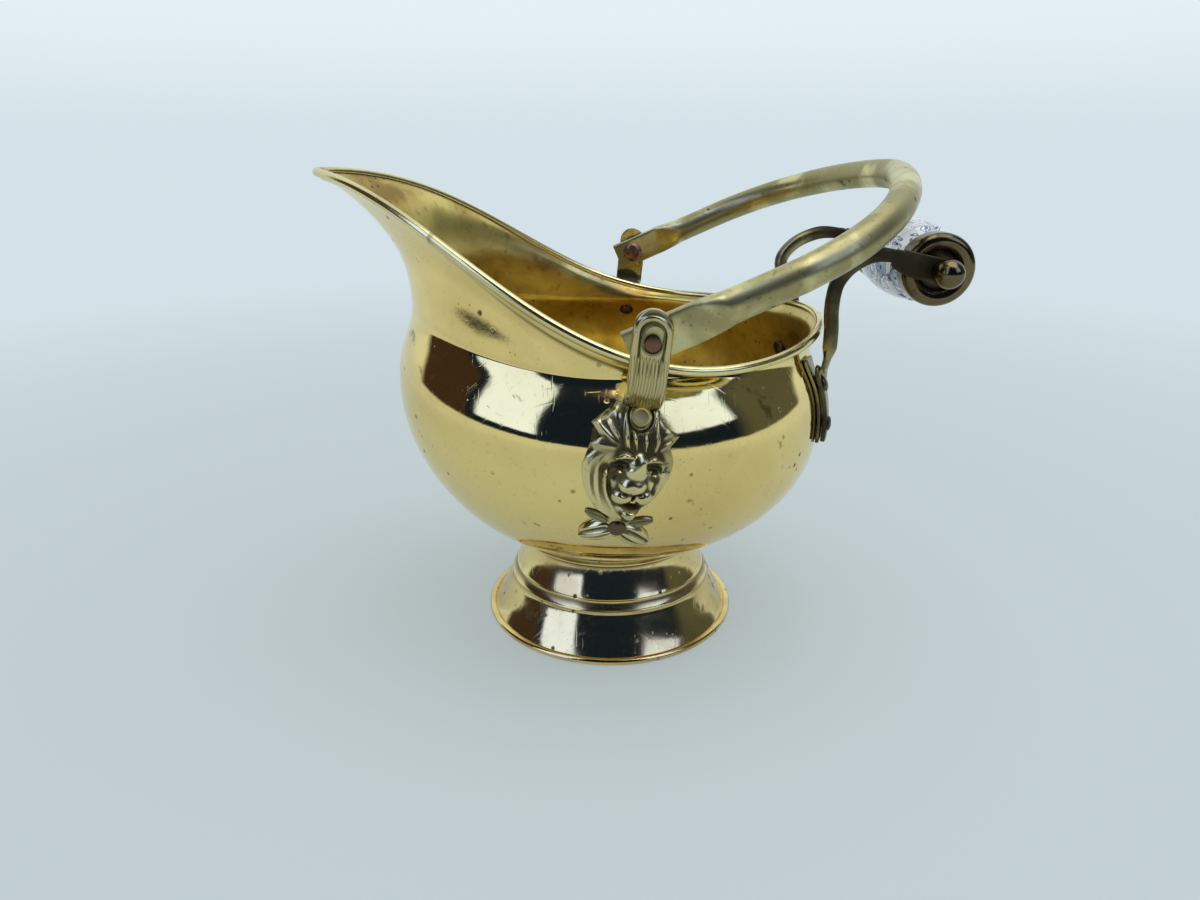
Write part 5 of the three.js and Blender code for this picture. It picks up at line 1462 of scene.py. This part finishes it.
for hand, side in SIDES:
    on_rod = frame_matrix((GRIP_X, 0, GRIP_Z), (0, side, 0))
    cap = settle(turned(f"{hand}_grip_cup", cup, 72, 30), on_rod)
    cavity(cap, 3)
    place_in_scuttle(cap, bronze, "scuttle", f"{hand}_grip_cap")
    knob = settle(turned(f"{hand}_nut_turning", nut, 48, 30), on_rod)
    cavity(knob, 3)
    place_in_scuttle(knob, bronze, "scuttle", f"{hand}_ball_nut")

crown, ends = 22.6, 24
half = [(crown - 2.0 * (h / ends) ** 2, h) for h in np.linspace(0, ends, 9)]
half += [(20.5, 25.5), (20.6, 26.6), (20.0, 27.6), (19.3, 28.4), (19.1, 29.2), (19.2, 30.2),
         (18.8, 31.6), (18.5, 33), (18.0, 38.4), (17.4, 38.9), (16.9, 39.3), (16.9, GRIP_HALF)]
other = [(r, -h) for r, h in half[1:]][::-1]
barrel = [(HOLE, -GRIP_HALF)] + other + half + [(HOLE, GRIP_HALF), (HOLE, -GRIP_HALF)]
grip = turned("porcelain_barrel", barrel, 96, 40)
settle(grip, frame_matrix((GRIP_X, 0, GRIP_Z), (0, 1, 0)))
print("barrel", round(2 * crown, 1), "mm across")


# %% [markdown]
# ## Porcelain
# The barrel is white glazed porcelain with scrolls and small flowers in cobalt blue. The
# pattern is painted round the barrel, so it is laid out on angle and length: soft noise bends
# thin lines into scrolls, and cells place the blossoms.

# %% Porcelain finish
china, bench, spot = new_finish("porcelain_cobalt")
centre = to_frame((GRIP_X, 0, GRIP_Z))
local = bench.node("Mapping", {"vector_type": "POINT"}, Vector=spot, Location=tuple(-centre))
split = bench.node("SeparateXYZ", out="X", Vector=local)
along = split.also("Y")
angle = split.maths("ARCTAN2", split.also("Z"))
unrolled = bench.node("CombineXYZ", X=angle * 0.022, Y=along, Z=0.0)

# Blossoms: each cell holds one, with five petals drawn round the cell's own point
cells = bench.node("TexVoronoi", {"feature": "F1", "voronoi_dimensions": "2D"}, out="Position",
                   Vector=unrolled, Scale=44, Randomness=0.55)
offset = bench.node("VectorMath", {"operation": "SUBTRACT"}, i0=unrolled, i1=cells)
radius = bench.node("VectorMath", {"operation": "LENGTH"}, out="Value", i0=offset)
offset_x = bench.node("SeparateXYZ", out="X", Vector=offset)
petal = (offset_x.maths("ARCTAN2", offset_x.also("Y")) * 2.5).maths("COSINE").maths("ABSOLUTE")
edge = radius * 1000 - (petal * 2.2 + 4.2)
petals = 1 - edge.above(-0.15, 0.15)
outline = edge.near(0, 0.45, 0.75)
heart = 1 - (radius * 1000).above(1.3, 1.6)
veins = petal.near(0.96, 0.01, 0.04) * (radius * 1000).above(2.2, 3) * petals

# Scrolls: bent contour lines of a soft noise, with leaves where a finer noise is high
bent = bench.cloud(unrolled, 75, 0, Distortion=2.2)
scroll = bent.near(0.5, 0.03, 0.045) + bent.near(0.66, 0.02, 0.03)
leafy = bench.cloud(unrolled, 210, 1, Distortion=0.8).above(0.56, 0.6)
leafy = leafy * bent.near(0.53, 0.07, 0.1)
length = along.maths("ABSOLUTE") * 1000
field = 1 - length.above(37.4, 38)
rings = length.near(38.4, 0.3, 0.6) + length.near(26.4, 0.2, 0.4)
ink = ((scroll + leafy) * (1 - petals) + outline + heart + veins * 0.7).held() * field
ink = (ink + rings).held()
wash = bench.cloud(unrolled, 260)
tone = bench.mix(wash.above(0.3, 0.7), (0.006, 0.03, 0.17), (0.02, 0.09, 0.33))
white = bench.mix(wash.above(0.2, 0.8), (0.74, 0.79, 0.84), (0.84, 0.87, 0.9))
white = bench.mix(petals * field * 0.6, white, (0.16, 0.32, 0.62))
glaze = bench.node("Bump", Strength=0.3, Distance=0.0003, Height=ink * 0.5 + wash * 0.1)
shader = bench.node("BsdfPrincipled", Base_Color=bench.mix(ink * 0.94, white, tone),
                    Roughness=wash * 0.05 + 0.12, Coat_Weight=0.6, Coat_Roughness=0.05,
                    Normal=glaze)
bench.node("OutputMaterial", Surface=shader)
place_in_scuttle(grip, china, "grip", "grip")
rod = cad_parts["grip_rod"]
rod.data.materials.clear()
rod.data.materials.append(dark_rivet)
print("rod keeps its own shape")
